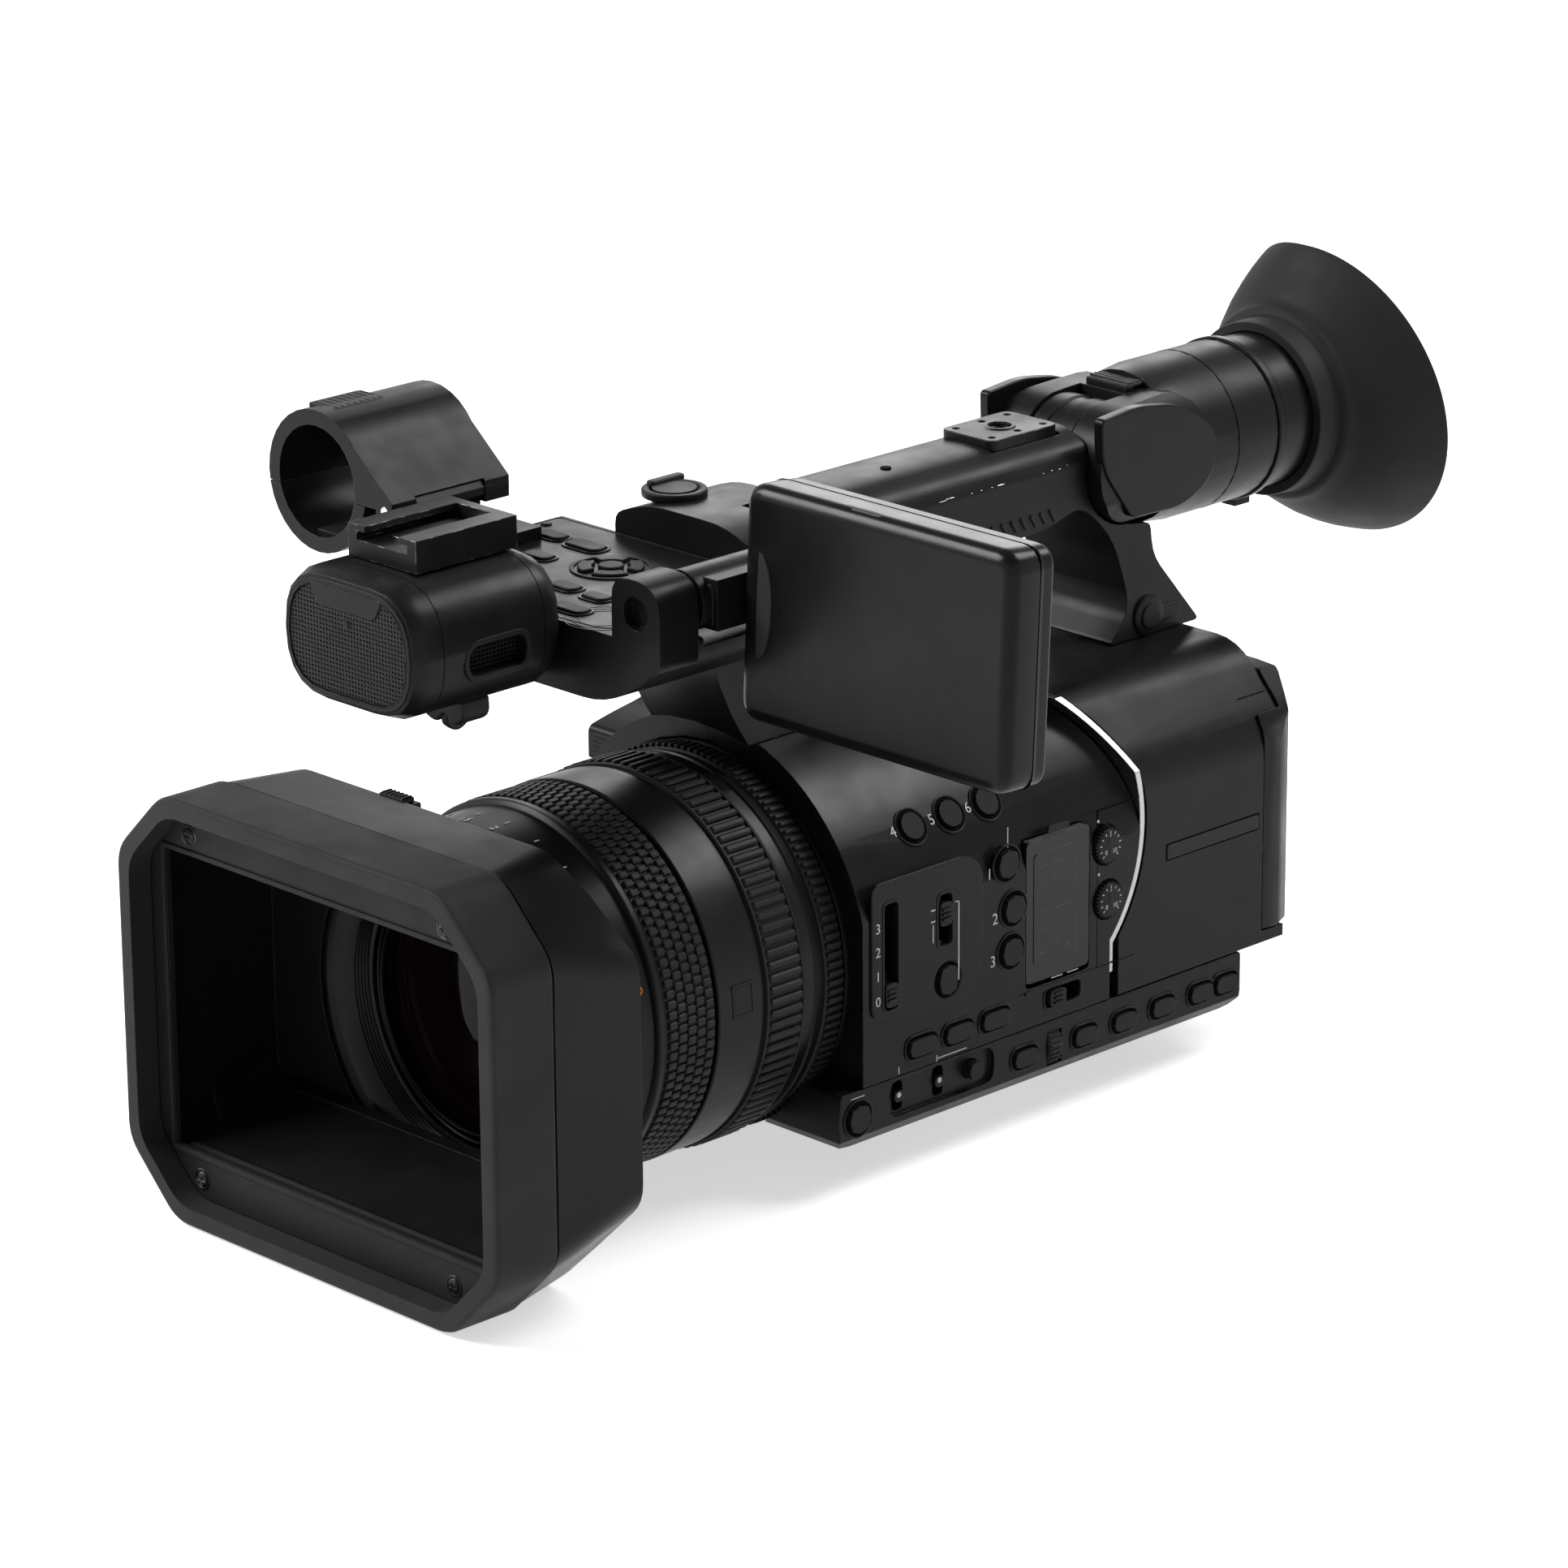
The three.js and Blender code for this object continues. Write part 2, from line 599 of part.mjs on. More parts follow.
function leftCover() {
  const outer = prism('y', frontProfile(0, COVER_LOW), BODY_FRONT, 60, 0, 14);
  const inner = prism('y', frontProfile(SHELL, COVER_LOW - 1), BODY_FRONT + SHELL, 61, 0, 14);
  const mouth = rod('y', BAND_R + 0.5 + GAP, BODY_FRONT - 1, BODY_FRONT + SHELL + 1, [0, AXIS_Z], 36);
  const shell = outer.subtract(inner).subtract(mouth).intersect(aheadOfJoint(0));
  const left = shell.intersect(box(GAP / 2, FAR, -FAR, FAR, -FAR, FAR));
  const right = shell.intersect(box(-FAR, -GAP / 2, -FAR, FAR, -FAR, FAR));

  const [y0, y1] = DOOR.y;
  const [z0, z1] = DOOR.z;
  const floor = box(WALL_X - 3, WALL_X - 0.1, y0 - 1.5, y1 + 1.5, z0 - 1, z1 + 1);
  let cover = left.add(floor)
    .subtract(prism('x', roundBox(y0, y1, z0, z1, 2), WALL_X, FAR, 0, 3))
    .subtract(keyHoles(['assign_keys', 'mode_keys', 'push_auto_button']))
    .subtract(sliderSlots(['nd_switch', 'focus_switch', 'audio_mode_switch'], WALL_X - 4));
  for (const y of SHOULDER_KEYS_Y) {
    cover = cover.subtract(shoulderRod(3.7 + KEY_CLEAR, FRONT_R - 12, FRONT_R + 5, y));
  }
  for (const at of Object.values(DIALS)) {
    cover = cover.subtract(rod('x', DIAL_R + 0.5, WALL_X + 0.8, FAR, at, 18))
      .subtract(rod('x', 1.8, WALL_X - 4, FAR, at, 8));
  }
  add('left_cover', cover, 'body');
  add('right_cover', right.subtract(gripWindow()), 'body');

  const door = prism('x', roundBox(y0 + GAP, y1 - GAP, z0 + 1.4, z1 - GAP, 1.7), BODY_HALF_W - DOOR.t, BODY_HALF_W, 0, 3)
    .add(rod('y', 1.4, y0 + GAP, y1 - GAP, DOOR.pin, 8));
  add('audio_door', door, 'gloss');

  for (const [name, at] of Object.entries(DIALS)) {
    const dial = rod('x', DIAL_R, WALL_X + 1.2, BODY_HALF_W + 1.4, at, 18)
      .add(rod('x', 1.4, WALL_X - 3, WALL_X + 2, at, 8));
    add(name, dial, 'matt');
  }
}

function baseTray() {
  const outline = rounded([
    [BASE_FRONT, 0, 8], [BASE_REAR, 0, 5], [BASE_REAR, BASE_H, 1], [BASE_FRONT + 2, BASE_H, 1],
  ], 2);
  const wheelAt = [WHEEL.x, WHEEL.z];
  const edges = [1, -1].map((side) => prism('y', polygon([
    [side * (BODY_HALF_W - 3.2), 0], [side * BODY_HALF_W, 3.4], [side * 70, 3.4], [side * 70, -5], [side * (BODY_HALF_W - 3.2), -5],
  ]), -FAR, FAR));
  const base = prism('x', outline, -BODY_HALF_W, BODY_HALF_W, 0.5, 3)
    .subtract(edges[0])
    .subtract(edges[1])
    .subtract(rod('y', BAND_R + 0.5 + GAP, BASE_FRONT - 1, BARREL_REAR + GAP, [0, AXIS_Z], 36))
    .subtract(box(BASE_WALL - BODY_HALF_W, BODY_HALF_W - BASE_WALL, BARREL_REAR + 4, BASE_REAR - 3, TRAY_FLOOR, BASE_H + 1))
    .add(box(WHEEL.x - 8.4, BODY_HALF_W - 1, WHEEL.y - 6.5, WHEEL.y + 6.5, 4, BASE_H - 0.1))
    .subtract(rod('y', WHEEL.r + 0.4, WHEEL.y - WHEEL.t / 2 - 0.4, WHEEL.y + WHEEL.t / 2 + 0.4, wheelAt, 20))
    .subtract(rod('y', 1.3, WHEEL.y - 5, WHEEL.y + 5, wheelAt, 8))
    .subtract(box(-22, 22, -24, 34, -1, PLATE_T))
    .subtract(prism('x', roundBox(...RECESS, 4), BODY_HALF_W - RECESS_DEEP, FAR, 0, 3))
    .subtract(keyHoles(['menu_keys', 'search_keys', 'iris_button']))
    .subtract(sliderSlots(['gain_switch', 'white_switch'], BODY_HALF_W - BASE_WALL - 2));
  add('base_tray', base, 'body');

  const plate = box(-21.7, 21.7, -23.7, 33.7, 0, PLATE_T - GAP)
    .subtract(rod('z', SCREW_R, -1, PLATE_T, [0, SCREW_Y], 16))
    .subtract(rod('z', STUD_R, -1, PLATE_T, [0, STUD_Y], 10));
  add('tripod_plate', plate, 'metal');

  const wheel = rod('y', WHEEL.r, WHEEL.y - WHEEL.t / 2, WHEEL.y + WHEEL.t / 2, wheelAt, 20)
    .add(rod('y', 1, WHEEL.y - 4.7, WHEEL.y + 4.7, wheelAt, 8));
  add('menu_wheel', wheel, 'matt');
}

// Rear body with the battery bay and the card bay.
const BAY_LOW = 23.5;
const BAY_FRONT = BODY_REAR - 38;
const CARD_FRONT = BODY_REAR - 9;  // front end of the card door's recess
const CARD_Z = [20, 90];

function rearCover() {
  const batteryX = [BATTERY_X - BATTERY_W / 2, BATTERY_X + BATTERY_W / 2];
  const batteryY = [BAY_FRONT + 5, BAY_FRONT + 5 + BATTERY_T];
  const bay = box(batteryX[0] - 4, batteryX[1] + 4, BAY_FRONT, BODY_REAR - 1, BAY_LOW - 4, DECK_Z - 1);
  const pocket = box(batteryX[0] - GAP, batteryX[1] + GAP, batteryY[0] - GAP, FAR, BAY_LOW, FAR);
  const cardBay = box(14, WALL_X - GAP, CARD_FRONT - 7, BODY_REAR - 1, CARD_Z[0] - 2, CARD_Z[1] + 3)
    .intersect(prism('y', rearProfile(0.5, COVER_LOW), CARD_FRONT - 10, BODY_REAR, 0, 4));
  let rear = prism('y', rearProfile(0, COVER_LOW), ARC_Y, BODY_REAR, 0, 4)
    .subtract(prism('y', rearProfile(SHELL, COVER_LOW - 1), 0, BODY_REAR - SHELL, 0, 4))
    .add(bay)
    .add(cardBay)
    .add(box(-WALL_X - 1, WALL_X + 1, BASE_REAR - 1, BODY_REAR - 1, COVER_LOW, COVER_LOW + SHELL))
    .subtract(pocket)
    .subtract(box(WALL_X - GAP, FAR, CARD_FRONT, FAR, CARD_Z[0] - GAP, CARD_Z[1] + GAP))
    .subtract(aheadOfJoint(TRIM_W + 2 * GAP));
  for (const z of [46, 58]) {
    rear = rear.subtract(box(27, 50, CARD_FRONT - 5, FAR, z, z + 3));
  }
  add('rear_cover', rear, 'body');

  const door = polygon([
    [WALL_X, CARD_FRONT + GAP], [BODY_HALF_W, CARD_FRONT + GAP], [BODY_HALF_W + 0.6, BODY_REAR - 3],
    [BODY_HALF_W - 2, BODY_REAR + 3], [47, BODY_REAR + 6.6], [38, BODY_REAR + 8], [26, BODY_REAR + 8.4],
    [26, BODY_REAR + GAP], [WALL_X, BODY_REAR + GAP],
  ]);
  const flap = prism('z', door, CARD_Z[0], CARD_Z[1], 0.8)
    .intersect(prism('y', rearProfile(-0.6, 0), CARD_FRONT - 15, BODY_REAR + 16, 0, 4));
  add('card_door', flap, 'body');

  add('battery', prism('z', roundBox(...batteryX, ...batteryY, 3), BAY_LOW + GAP, BAY_LOW + GAP + BATTERY_H, 0, 3), 'body');
  const board = box(-24, -22, -20, 62, 18, 88)
    .add(box(-26, -20, -12, -6, TRAY_FLOOR + GAP, 20))
    .add(box(-26, -20, 50, 56, TRAY_FLOOR + GAP, 20))
    .add(box(-22.5, -12, 0, 26, 30, 56))
    .add(box(-27, -24, -10, 10, 17.6, 24));
  add('main_board', board, 'board');
}

// ---------- grip ----------
function gripOutline(inset) {
  return rounded([
    [GRIP_OUT + inset, GRIP_FRONT + 42, 14], [GRIP_OUT + 14, GRIP_FRONT + inset, 8], [-BODY_HALF_W - GAP, GRIP_FRONT + inset, 0.5],
    [-BODY_HALF_W - GAP, GRIP_REAR - inset, 0.5], [GRIP_OUT + inset, GRIP_REAR - inset, 20],
  ], 1);
}

// The top of the grip falls away outwards and forwards.
function gripSlope(inset) {
  const nose = prism('x', polygon([
    [-FAR, GRIP_TOP - 16 - inset], [GRIP_FRONT + inset, GRIP_TOP - 16 - inset], [-10, GRIP_TOP - inset], [-10, FAR], [-FAR, FAR],
  ]), -FAR, FAR);
  return nose.add(prism('y', polygon([
    [-FAR, GRIP_TOP - 22 - inset], [GRIP_OUT + inset, GRIP_TOP - 22 - inset], [GRIP_OUT + 12, GRIP_TOP - 9 - inset],
    [-66, GRIP_TOP - inset], [-66, FAR], [-FAR, FAR],
  ]), -FAR, FAR));
}

function gripWindow() {
  return box(-FAR, 10 - BODY_HALF_W, -30, 20, 30, 60);
}

const ROCKER_Y = [0, 32];
const ROCKER_X = -74;
const ROCKER_Z = GRIP_TOP - 3;
const REC_AT = [-78, 46];        // record button on the back of the grip, in X and Z

function socketHoles() {
  const rear = GRIP_FRONT + SOCKET_DEEP + GAP;
  return SOCKETS_Z.map((z) => rod('y', SOCKET_R + SOCKET_WALL + GAP, GRIP_FRONT - 1, rear, [SOCKET_X, z], 18))
    .reduce((all, one) => all.add(one));
}

function grip() {
  const hollow = prism('z', gripOutline(SHELL), GRIP_LOW + SHELL, GRIP_TOP - SHELL, 0, 4).subtract(gripSlope(SHELL));
  const shell = prism('z', gripOutline(0), GRIP_LOW, GRIP_TOP, 0, 4)
    .subtract(gripSlope(0))
    .subtract(hollow)
    .subtract(box(-BODY_HALF_W - 2, -BODY_HALF_W + 1, -40, 40, 24, 70))
    .subtract(box(ROCKER_X - 6.5, ROCKER_X + 6.5, ROCKER_Y[0] - 0.5, ROCKER_Y[1] + 0.5, ROCKER_Z - 4.6, FAR))
    .add(rod('x', 1.4, ROCKER_X - 8, ROCKER_X + 8, [(ROCKER_Y[0] + ROCKER_Y[1]) / 2, ROCKER_Z - 1.6], 12))
    .subtract(rod('y', 6.3, GRIP_REAR - 8, FAR, REC_AT, 16))
    .subtract(socketHoles());
  add('grip_housing', shell, 'body');

  const [r0, r1] = ROCKER_Y;
  const middle = (r0 + r1) / 2;
  const side = rounded([
    [r0, ROCKER_Z - 1, 1], [r1, ROCKER_Z - 1, 1], [r1, ROCKER_Z + 4, 2], [middle, ROCKER_Z + 1.6, 6], [r0, ROCKER_Z + 4, 2],
  ], 1);
  const rocker = prism('x', side, ROCKER_X - 6, ROCKER_X + 6, 0, 4)
    .add(box(ROCKER_X - 6, ROCKER_X + 6, middle - 4, middle + 4, ROCKER_Z - 4, ROCKER_Z))
    .subtract(rod('x', 1.7, ROCKER_X - 9, ROCKER_X + 9, [middle, ROCKER_Z - 1.6], 12));
  add('grip_zoom_rocker', rocker, 'matt');

  add('grip_record_button', rod('y', 6, GRIP_REAR - 4, GRIP_REAR + 2, REC_AT, 16), 'matt');
  const lever = turned([[7.2, GRIP_REAR + GAP], [10, GRIP_REAR + GAP], [9.4, GRIP_REAR + 3.4], [7.2, GRIP_REAR + 3.4]], ...REC_AT, 20)
    .add(box(REC_AT[0] - 3, REC_AT[0] + 3, GRIP_REAR + GAP, GRIP_REAR + 4.5, REC_AT[1] + 7.6, REC_AT[1] + 14));
  add('power_switch', lever, 'matt');
}

function strap() {
  const out = GRIP_OUT - STRAP_SPACE;
  const band = (grow) => rounded([
    [GRIP_OUT + 2, STRAP_Y[0] - grow, 2], [out - grow, STRAP_Y[0] + 14 - grow, 16],
    [out - grow, STRAP_Y[1] - 14 + grow, 16], [GRIP_OUT + 2, STRAP_Y[1] + grow, 2],
  ], 1);
  const whole = prism('z', band(STRAP_T), STRAP_Z - STRAP_W / 2, STRAP_Z + STRAP_W / 2, 0, 5)
    .subtract(prism('z', band(0), STRAP_Z - STRAP_W, STRAP_Z + STRAP_W, 0, 5))
    .subtract(box(GRIP_OUT - GAP, FAR, -FAR, FAR, -FAR, FAR));
  add('hand_strap', whole, 'fabric');
}

// Ribbed cover over the right shoulder, above the grip.
const BROW_X = [-57, -38];
const BROW_LOW = 77;

function shoulderCover() {
  const low = BROW_LOW;
  const brow = rounded([
    [-48, low, 1], [-48, low + 9, 2], [-38.6, low + 11, 4], [-26, low + 13, 8], [-13.6, low + 19, 4], [-2, low + 20, 1], [-2, low, 1],
  ], 1);
  const clear = rod('y', FRONT_R + GAP, -FAR, FAR, [0, AXIS_Z], 36);
  add('shoulder_cover', prism('x', brow, ...BROW_X, 0, 4).subtract(clear), 'body');
}

// Two microphone sockets, one above the other, in the front face of the grip.
const SOCKET_X = -71;
const SOCKETS_Z = [44.2, 22.4];
const SOCKET_R = 9;
const SOCKET_WALL = 1.8;
const SOCKET_DEEP = 14;

function sockets() {
  const face = roundBox(SOCKET_X - 12, SOCKET_X + 12, SOCKETS_Z[1] - 11.5, SOCKETS_Z[0] + 11.5, 4);
  let block = prism('y', face, GRIP_FRONT - 2.3, GRIP_FRONT - GAP, 0, 3);
  for (const z of SOCKETS_Z) {
    block = block.add(rod('y', SOCKET_R + SOCKET_WALL, GRIP_FRONT - 1, GRIP_FRONT + SOCKET_DEEP, [SOCKET_X, z], 18));
  }
  for (const z of SOCKETS_Z) {
    block = block.subtract(rod('y', SOCKET_R, GRIP_FRONT - 3, GRIP_FRONT + SOCKET_DEEP - 2, [SOCKET_X, z], 18));
  }
  add('mic_sockets', block, 'matt');
}

// ---------- handle ----------
const STEP_FRONT = HEAD_REAR + GAP;
const STEP_TOP = HANDLE_TOP + 2;

function handleSection(w, low) {
  return rounded([
    [-w - 2, low, 1], [w + 2, low, 1], [w + 0.5, 118, 6], [w, HANDLE_TOP - 8, 1], [w - 2, HANDLE_TOP - 4, 2],
    [w - 8, HANDLE_TOP - 0.6, 5], [0, HANDLE_TOP, 4],
    [8 - w, HANDLE_TOP - 0.6, 5], [2 - w, HANDLE_TOP - 4, 2], [-w, HANDLE_TOP - 8, 1], [-w - 0.5, 118, 6],
  ], 1);
}

function handleSide() {
  return rounded([
    [STEP_FRONT, HANDLE_TOP + 3, 1], [HANDLE_REAR, HANDLE_TOP + 3, 1], [HANDLE_REAR, 148, 3], [80, 130, 3],
    [91, 128.5, 2], [92, 119, 5], [110, DECK_Z + GAP, 2], [74, DECK_Z + GAP, 2], [82.5, 106, 8], [80, 116, 6],
    [76, 127, 8], [64, 139, 6], [50, HANDLE_UNDER, 6], [-24, HANDLE_UNDER, 6], [-36, 128, 8], [-37, 112, 8],
    [-32, 96, 2], [-58, 96, 2], [-66, 108, 6], [-72, 122, 6], [-72, HEAD_LOW - GAP, 1], [STEP_FRONT, HEAD_LOW - GAP, 1],
  ], 2);
}

function handle() {
  const step = rounded([
    [-STEP_HALF_W, 134, 4], [STEP_HALF_W, 134, 4], [STEP_HALF_W, STEP_TOP - 5.5, 3], [14, STEP_TOP - 1, 8],
    [-14, STEP_TOP - 1, 8], [-STEP_HALF_W, STEP_TOP - 5.5, 3],
  ], 2);
  const foot = box(-FAR, FAR, -FAR, 0, -FAR, FAR).intersect(rod('y', FRONT_R + GAP, -FAR, 0, [0, AXIS_Z], 36));
  const lugEnd = [PIVOT_Y, PIVOT_Z];
  const bar = prism('y', handleSection(HANDLE_HALF_W, 80), -80, 112, 0, 3)
    .intersect(prism('x', handleSide(), -30, 30, 0, 3))
    .add(prism('y', step, STEP_FRONT, STEP_REAR, 0, 3))
    .subtract(foot)
    .subtract(rod('x', HUB_R + 0.8, -FAR, FAR, lugEnd, 32))
    .add(box(-LUG_HALF_W, LUG_HALF_W, HANDLE_REAR - 4, PIVOT_Y, PIVOT_Z - LUG_R, PIVOT_Z + LUG_R))
    .add(rod('x', LUG_R, -LUG_HALF_W, LUG_HALF_W, lugEnd, 20))
    .add(rod('x', PIVOT_PIN_R, 3 - HUB_HALF_W, HUB_HALF_W - 3, lugEnd, 12))
    .subtract(handleRecordHole())
    .subtract(handleZoomSlot())
    .subtract(box(-10, 10, SHOE_PLATE_Y[0] - GAP, SHOE_PLATE_Y[1] + GAP, HANDLE_TOP - 4, FAR));
  add('handle', bar, 'body');

  const plate = prism('z', roundBox(-9.7, 9.7, ...SHOE_PLATE_Y, 3), HANDLE_TOP - 4 + GAP, HANDLE_TOP + 1.6, 0, 3)
    .subtract(rod('z', 3.1, HANDLE_TOP - 1, FAR, [0, (SHOE_PLATE_Y[0] + SHOE_PLATE_Y[1]) / 2], 16));
  add('handle_shoe_plate', plate, 'metal');
}

const SHOE_PLATE_Y = [37, 63];
const REC_TOP = [-16, -54];       // record button on the handle step, in X and Y
const LEVER_AT = [6, -46];       // zoom lever on the handle step

function handleRecordHole() {
  return rod('z', 6.3, STEP_TOP - 8, FAR, REC_TOP, 16);
}

function handleZoomSlot() {
  return box(LEVER_AT[0] - 1.6, LEVER_AT[0] + 12, LEVER_AT[1] - 4, LEVER_AT[1] + 9, STEP_TOP - 9, FAR);
}

function handleControls() {
  add('handle_record_button', rod('z', 5.9, STEP_TOP - 6, STEP_TOP + 0.8, REC_TOP, 16), 'matt');
  const [x, y] = LEVER_AT;
  const hinge = STEP_TOP - 5;
  const lever = rod('x', 2.6, x - 1.2, x + 11.6, [y + 2.4, hinge], 16)
    .add(box(x - 1.2, x + 11.6, y + 1.2, y + 3.6, hinge, STEP_TOP + 3));
  add('handle_zoom_lever', lever, 'matt');
}

// ---------- control head, microphone and shoe ----------
function head() {
  const section = rounded([
    [HEAD_RIGHT, HEAD_TOP, 1.5], [HEAD_RIGHT, 143, 4], [-37, HEAD_LOW, 8], [38, HEAD_LOW, 8], [54, 141, 5],
    [HINGE_X + KNUCKLE_R, 150, 2], [HEAD_LEFT + 2, HEAD_TOP, 1],
  ], 1);
  const armRoom = [ARM_Y[0] - GAP, HEAD_REAR + 1];
  const knuckle = rounded([
    [HINGE_X - KNUCKLE_R, 140, 1], [HINGE_X + KNUCKLE_R, 143, 3], [HINGE_X + KNUCKLE_R, HINGE_Z + KNUCKLE_R, 8],
    [HINGE_X - KNUCKLE_R, HINGE_Z + KNUCKLE_R, 6],
  ], 1);
  const block = prism('y', section, HEAD_FRONT, HEAD_REAR, 0, 4)
    .add(prism('y', knuckle, HEAD_FRONT, HEAD_FRONT + KNUCKLE_T, 0, 4))
    .subtract(box(HEAD_LEFT - 1.5, FAR, armRoom[0], armRoom[1], HINGE_Z - KNUCKLE_R - 1.5, FAR))
    .add(rod('y', 4, HEAD_FRONT + 4, ARM_Y[0] + 14, [HINGE_X, HINGE_Z], 14))
    .subtract(rod('y', 4.4, HEAD_FRONT - 1, HEAD_FRONT + 3, [HINGE_X, HINGE_Z], 14));
  add('control_head', block, 'body');

  const face = MIC_FRONT;
  const capsule = (inset) => roundBox(-MIC_HALF_W + inset, MIC_HALF_W - inset, MIC_Z - MIC_HALF_H + inset,
    MIC_Z + MIC_HALF_H - inset, MIC_HALF_H - inset - 0.5);
  const mic = prism('y', capsule(0), face, HEAD_FRONT - GAP, 6, 5)
    .subtract(prism('y', capsule(4), face - 1, face + 16, 0, 5))
    .subtract(prism('x', roundBox(-162, -143, MIC_Z - 7, MIC_Z + 1, 3.9), MIC_HALF_W - 5, MIC_HALF_W + 2, 0, 4))
    .subtract(prism('x', roundBox(-162, -143, MIC_Z - 7, MIC_Z + 1, 3.9), -MIC_HALF_W - 2, 5 - MIC_HALF_W, 0, 4));
  add('mic_housing', mic, 'body');

  const shoeLow = MIC_Z + MIC_HALF_H + GAP;
  const [s0, s1] = SHOE_Y;
  const slotZ = shoeLow + 4.5;
  const shoe = box(-SHOE_HALF_W, SHOE_HALF_W, s0, s1, shoeLow, slotZ + SHOE_SLOT_H + 1.6)
    .subtract(box(-SHOE_SLOT_W / 2, SHOE_SLOT_W / 2, s0 - 1, s1 - 3, slotZ, slotZ + SHOE_SLOT_H))
    .subtract(box(-6.3, 6.3, s0 - 1, s1 - 3, slotZ, FAR));
  add('accessory_shoe', shoe, 'metal');
}

// Hinged ring for an external microphone.
function micHolder() {
  const [y0, y1] = CLAMP_Y;
  const pin = [CLAMP_PIN_X, CLAMP_PIN_Z];
  const split = CLAMP_PIN_Z;
  const bore = rod('y', CLAMP_BORE, y0 - 1, y1 + 1, [CLAMP_X, CLAMP_Z], 28);
  const wedge = polygon([
    [CLAMP_X, CLAMP_Z + CLAMP_R], [CLAMP_X + 8, CLAMP_Z + CLAMP_R - 1.8], [CLAMP_PIN_X + 3, split + 2.5],
    [CLAMP_PIN_X + 3, split - 3], [CLAMP_X, split - 3],
  ]);
  const round = rod('y', CLAMP_R, y0, y1, [CLAMP_X, CLAMP_Z], 32);
  const eye = rod('y', 3.2, y0, y1, pin, 10);
  const upper = round.add(prism('y', wedge, y0, y1))
    .subtract(box(-FAR, CLAMP_PIN_X, -FAR, FAR, -FAR, split + GAP / 2))
    .subtract(rod('y', 3.7, y0 + 8, y1 - 8, pin, 10))
    .subtract(box(CLAMP_PIN_X - 4.2, FAR, y0 + 8, y1 - 8, -FAR, split + 3))
    .subtract(box(CLAMP_PIN_X, FAR, -FAR, FAR, -FAR, split - 3.2))
    .add(eye.subtract(rod('y', FAR, y0 + 7.6, y1 - 7.6, pin, 8)))
    .subtract(bore)
    .subtract(rod('y', 1.5, y0 - 1, y1 + 1, pin, 8));
  add('mic_clamp_upper', upper, 'body');

  const stand = rounded([
    [HEAD_RIGHT + 1, HEAD_TOP + GAP, 1], [-34, HEAD_TOP + GAP, 1], [-34, CLAMP_Z - CLAMP_R + 6, 3], [-40, split - 6, 3], [CLAMP_X, split - 6, 3],
    [CLAMP_X - 6, CLAMP_Z - CLAMP_R, 2],
  ], 1);
  const lower = round
    .subtract(box(-FAR, FAR, -FAR, FAR, split - GAP / 2, FAR))
    .add(box(CLAMP_PIN_X - 8, CLAMP_PIN_X + 1.5, y0 + 8.4, y1 - 8.4, split - 6, split - 1))
    .add(rod('y', 3.2, y0 + 8.4, y1 - 8.4, pin, 10))
    .add(rod('y', 1.2, y0 + 0.5, y1 - 0.5, pin, 8))
    .add(prism('y', stand, -126, -108))
    .add(box(HEAD_RIGHT + 1, -34, -109, -84, HEAD_TOP + GAP, HEAD_TOP + 3.3))
    .subtract(bore);
  add('mic_clamp_lower', lower, 'body');
}

// ---------- screen ----------
function screen() {
  const hub = [HINGE_X, HINGE_Z];
  const [a0, a1] = ARM_Y;
  const arm = rod('y', KNUCKLE_R - 0.6, a0, a1, hub, 24)
    .add(box(HINGE_X, LCD_X[0] - 1.2, a0 + 3, a1 - 3, HINGE_Z - 6.5, HINGE_Z + 6.5))
    .add(rod('x', 4, HINGE_X, LCD_X[0] + 9, [LCD_Y, HINGE_Z], 14))
    .subtract(rod('y', 4.3, a0 - 1, a0 + 16, hub, 14));
  add('screen_arm', arm, 'body');

  const tilted = new THREE.Group();
  tilted.position.set(0, LCD_Y, HINGE_Z);
  tilted.rotation.x = -THREE.MathUtils.degToRad(LCD_TILT);
  camcorder.add(tilted);
  const half = LCD_T / 2;
  const glassT = 2;
  const shell = prism('y', roundBox(LCD_X[0], LCD_X[1], -LCD_H / 2, LCD_H / 2, 5), -half, half, 1.8, 4)
    .subtract(box(LCD_X[0] + 8, LCD_X[1] - 6, half - glassT - GAP, half + 1, -LCD_H / 2 + 6, LCD_H / 2 - 6))
    .subtract(rod('x', 4.4, LCD_X[0] - 1, LCD_X[0] + 9.6, [0, 0], 14));
  add('screen_case', shell, 'gloss', tilted);
  add('screen_glass', box(LCD_X[0] + 8.3, LCD_X[1] - 6.3, half - glassT, half - 0.1, -LCD_H / 2 + 6.3, LCD_H / 2 - 6.3), 'glass', tilted);
}

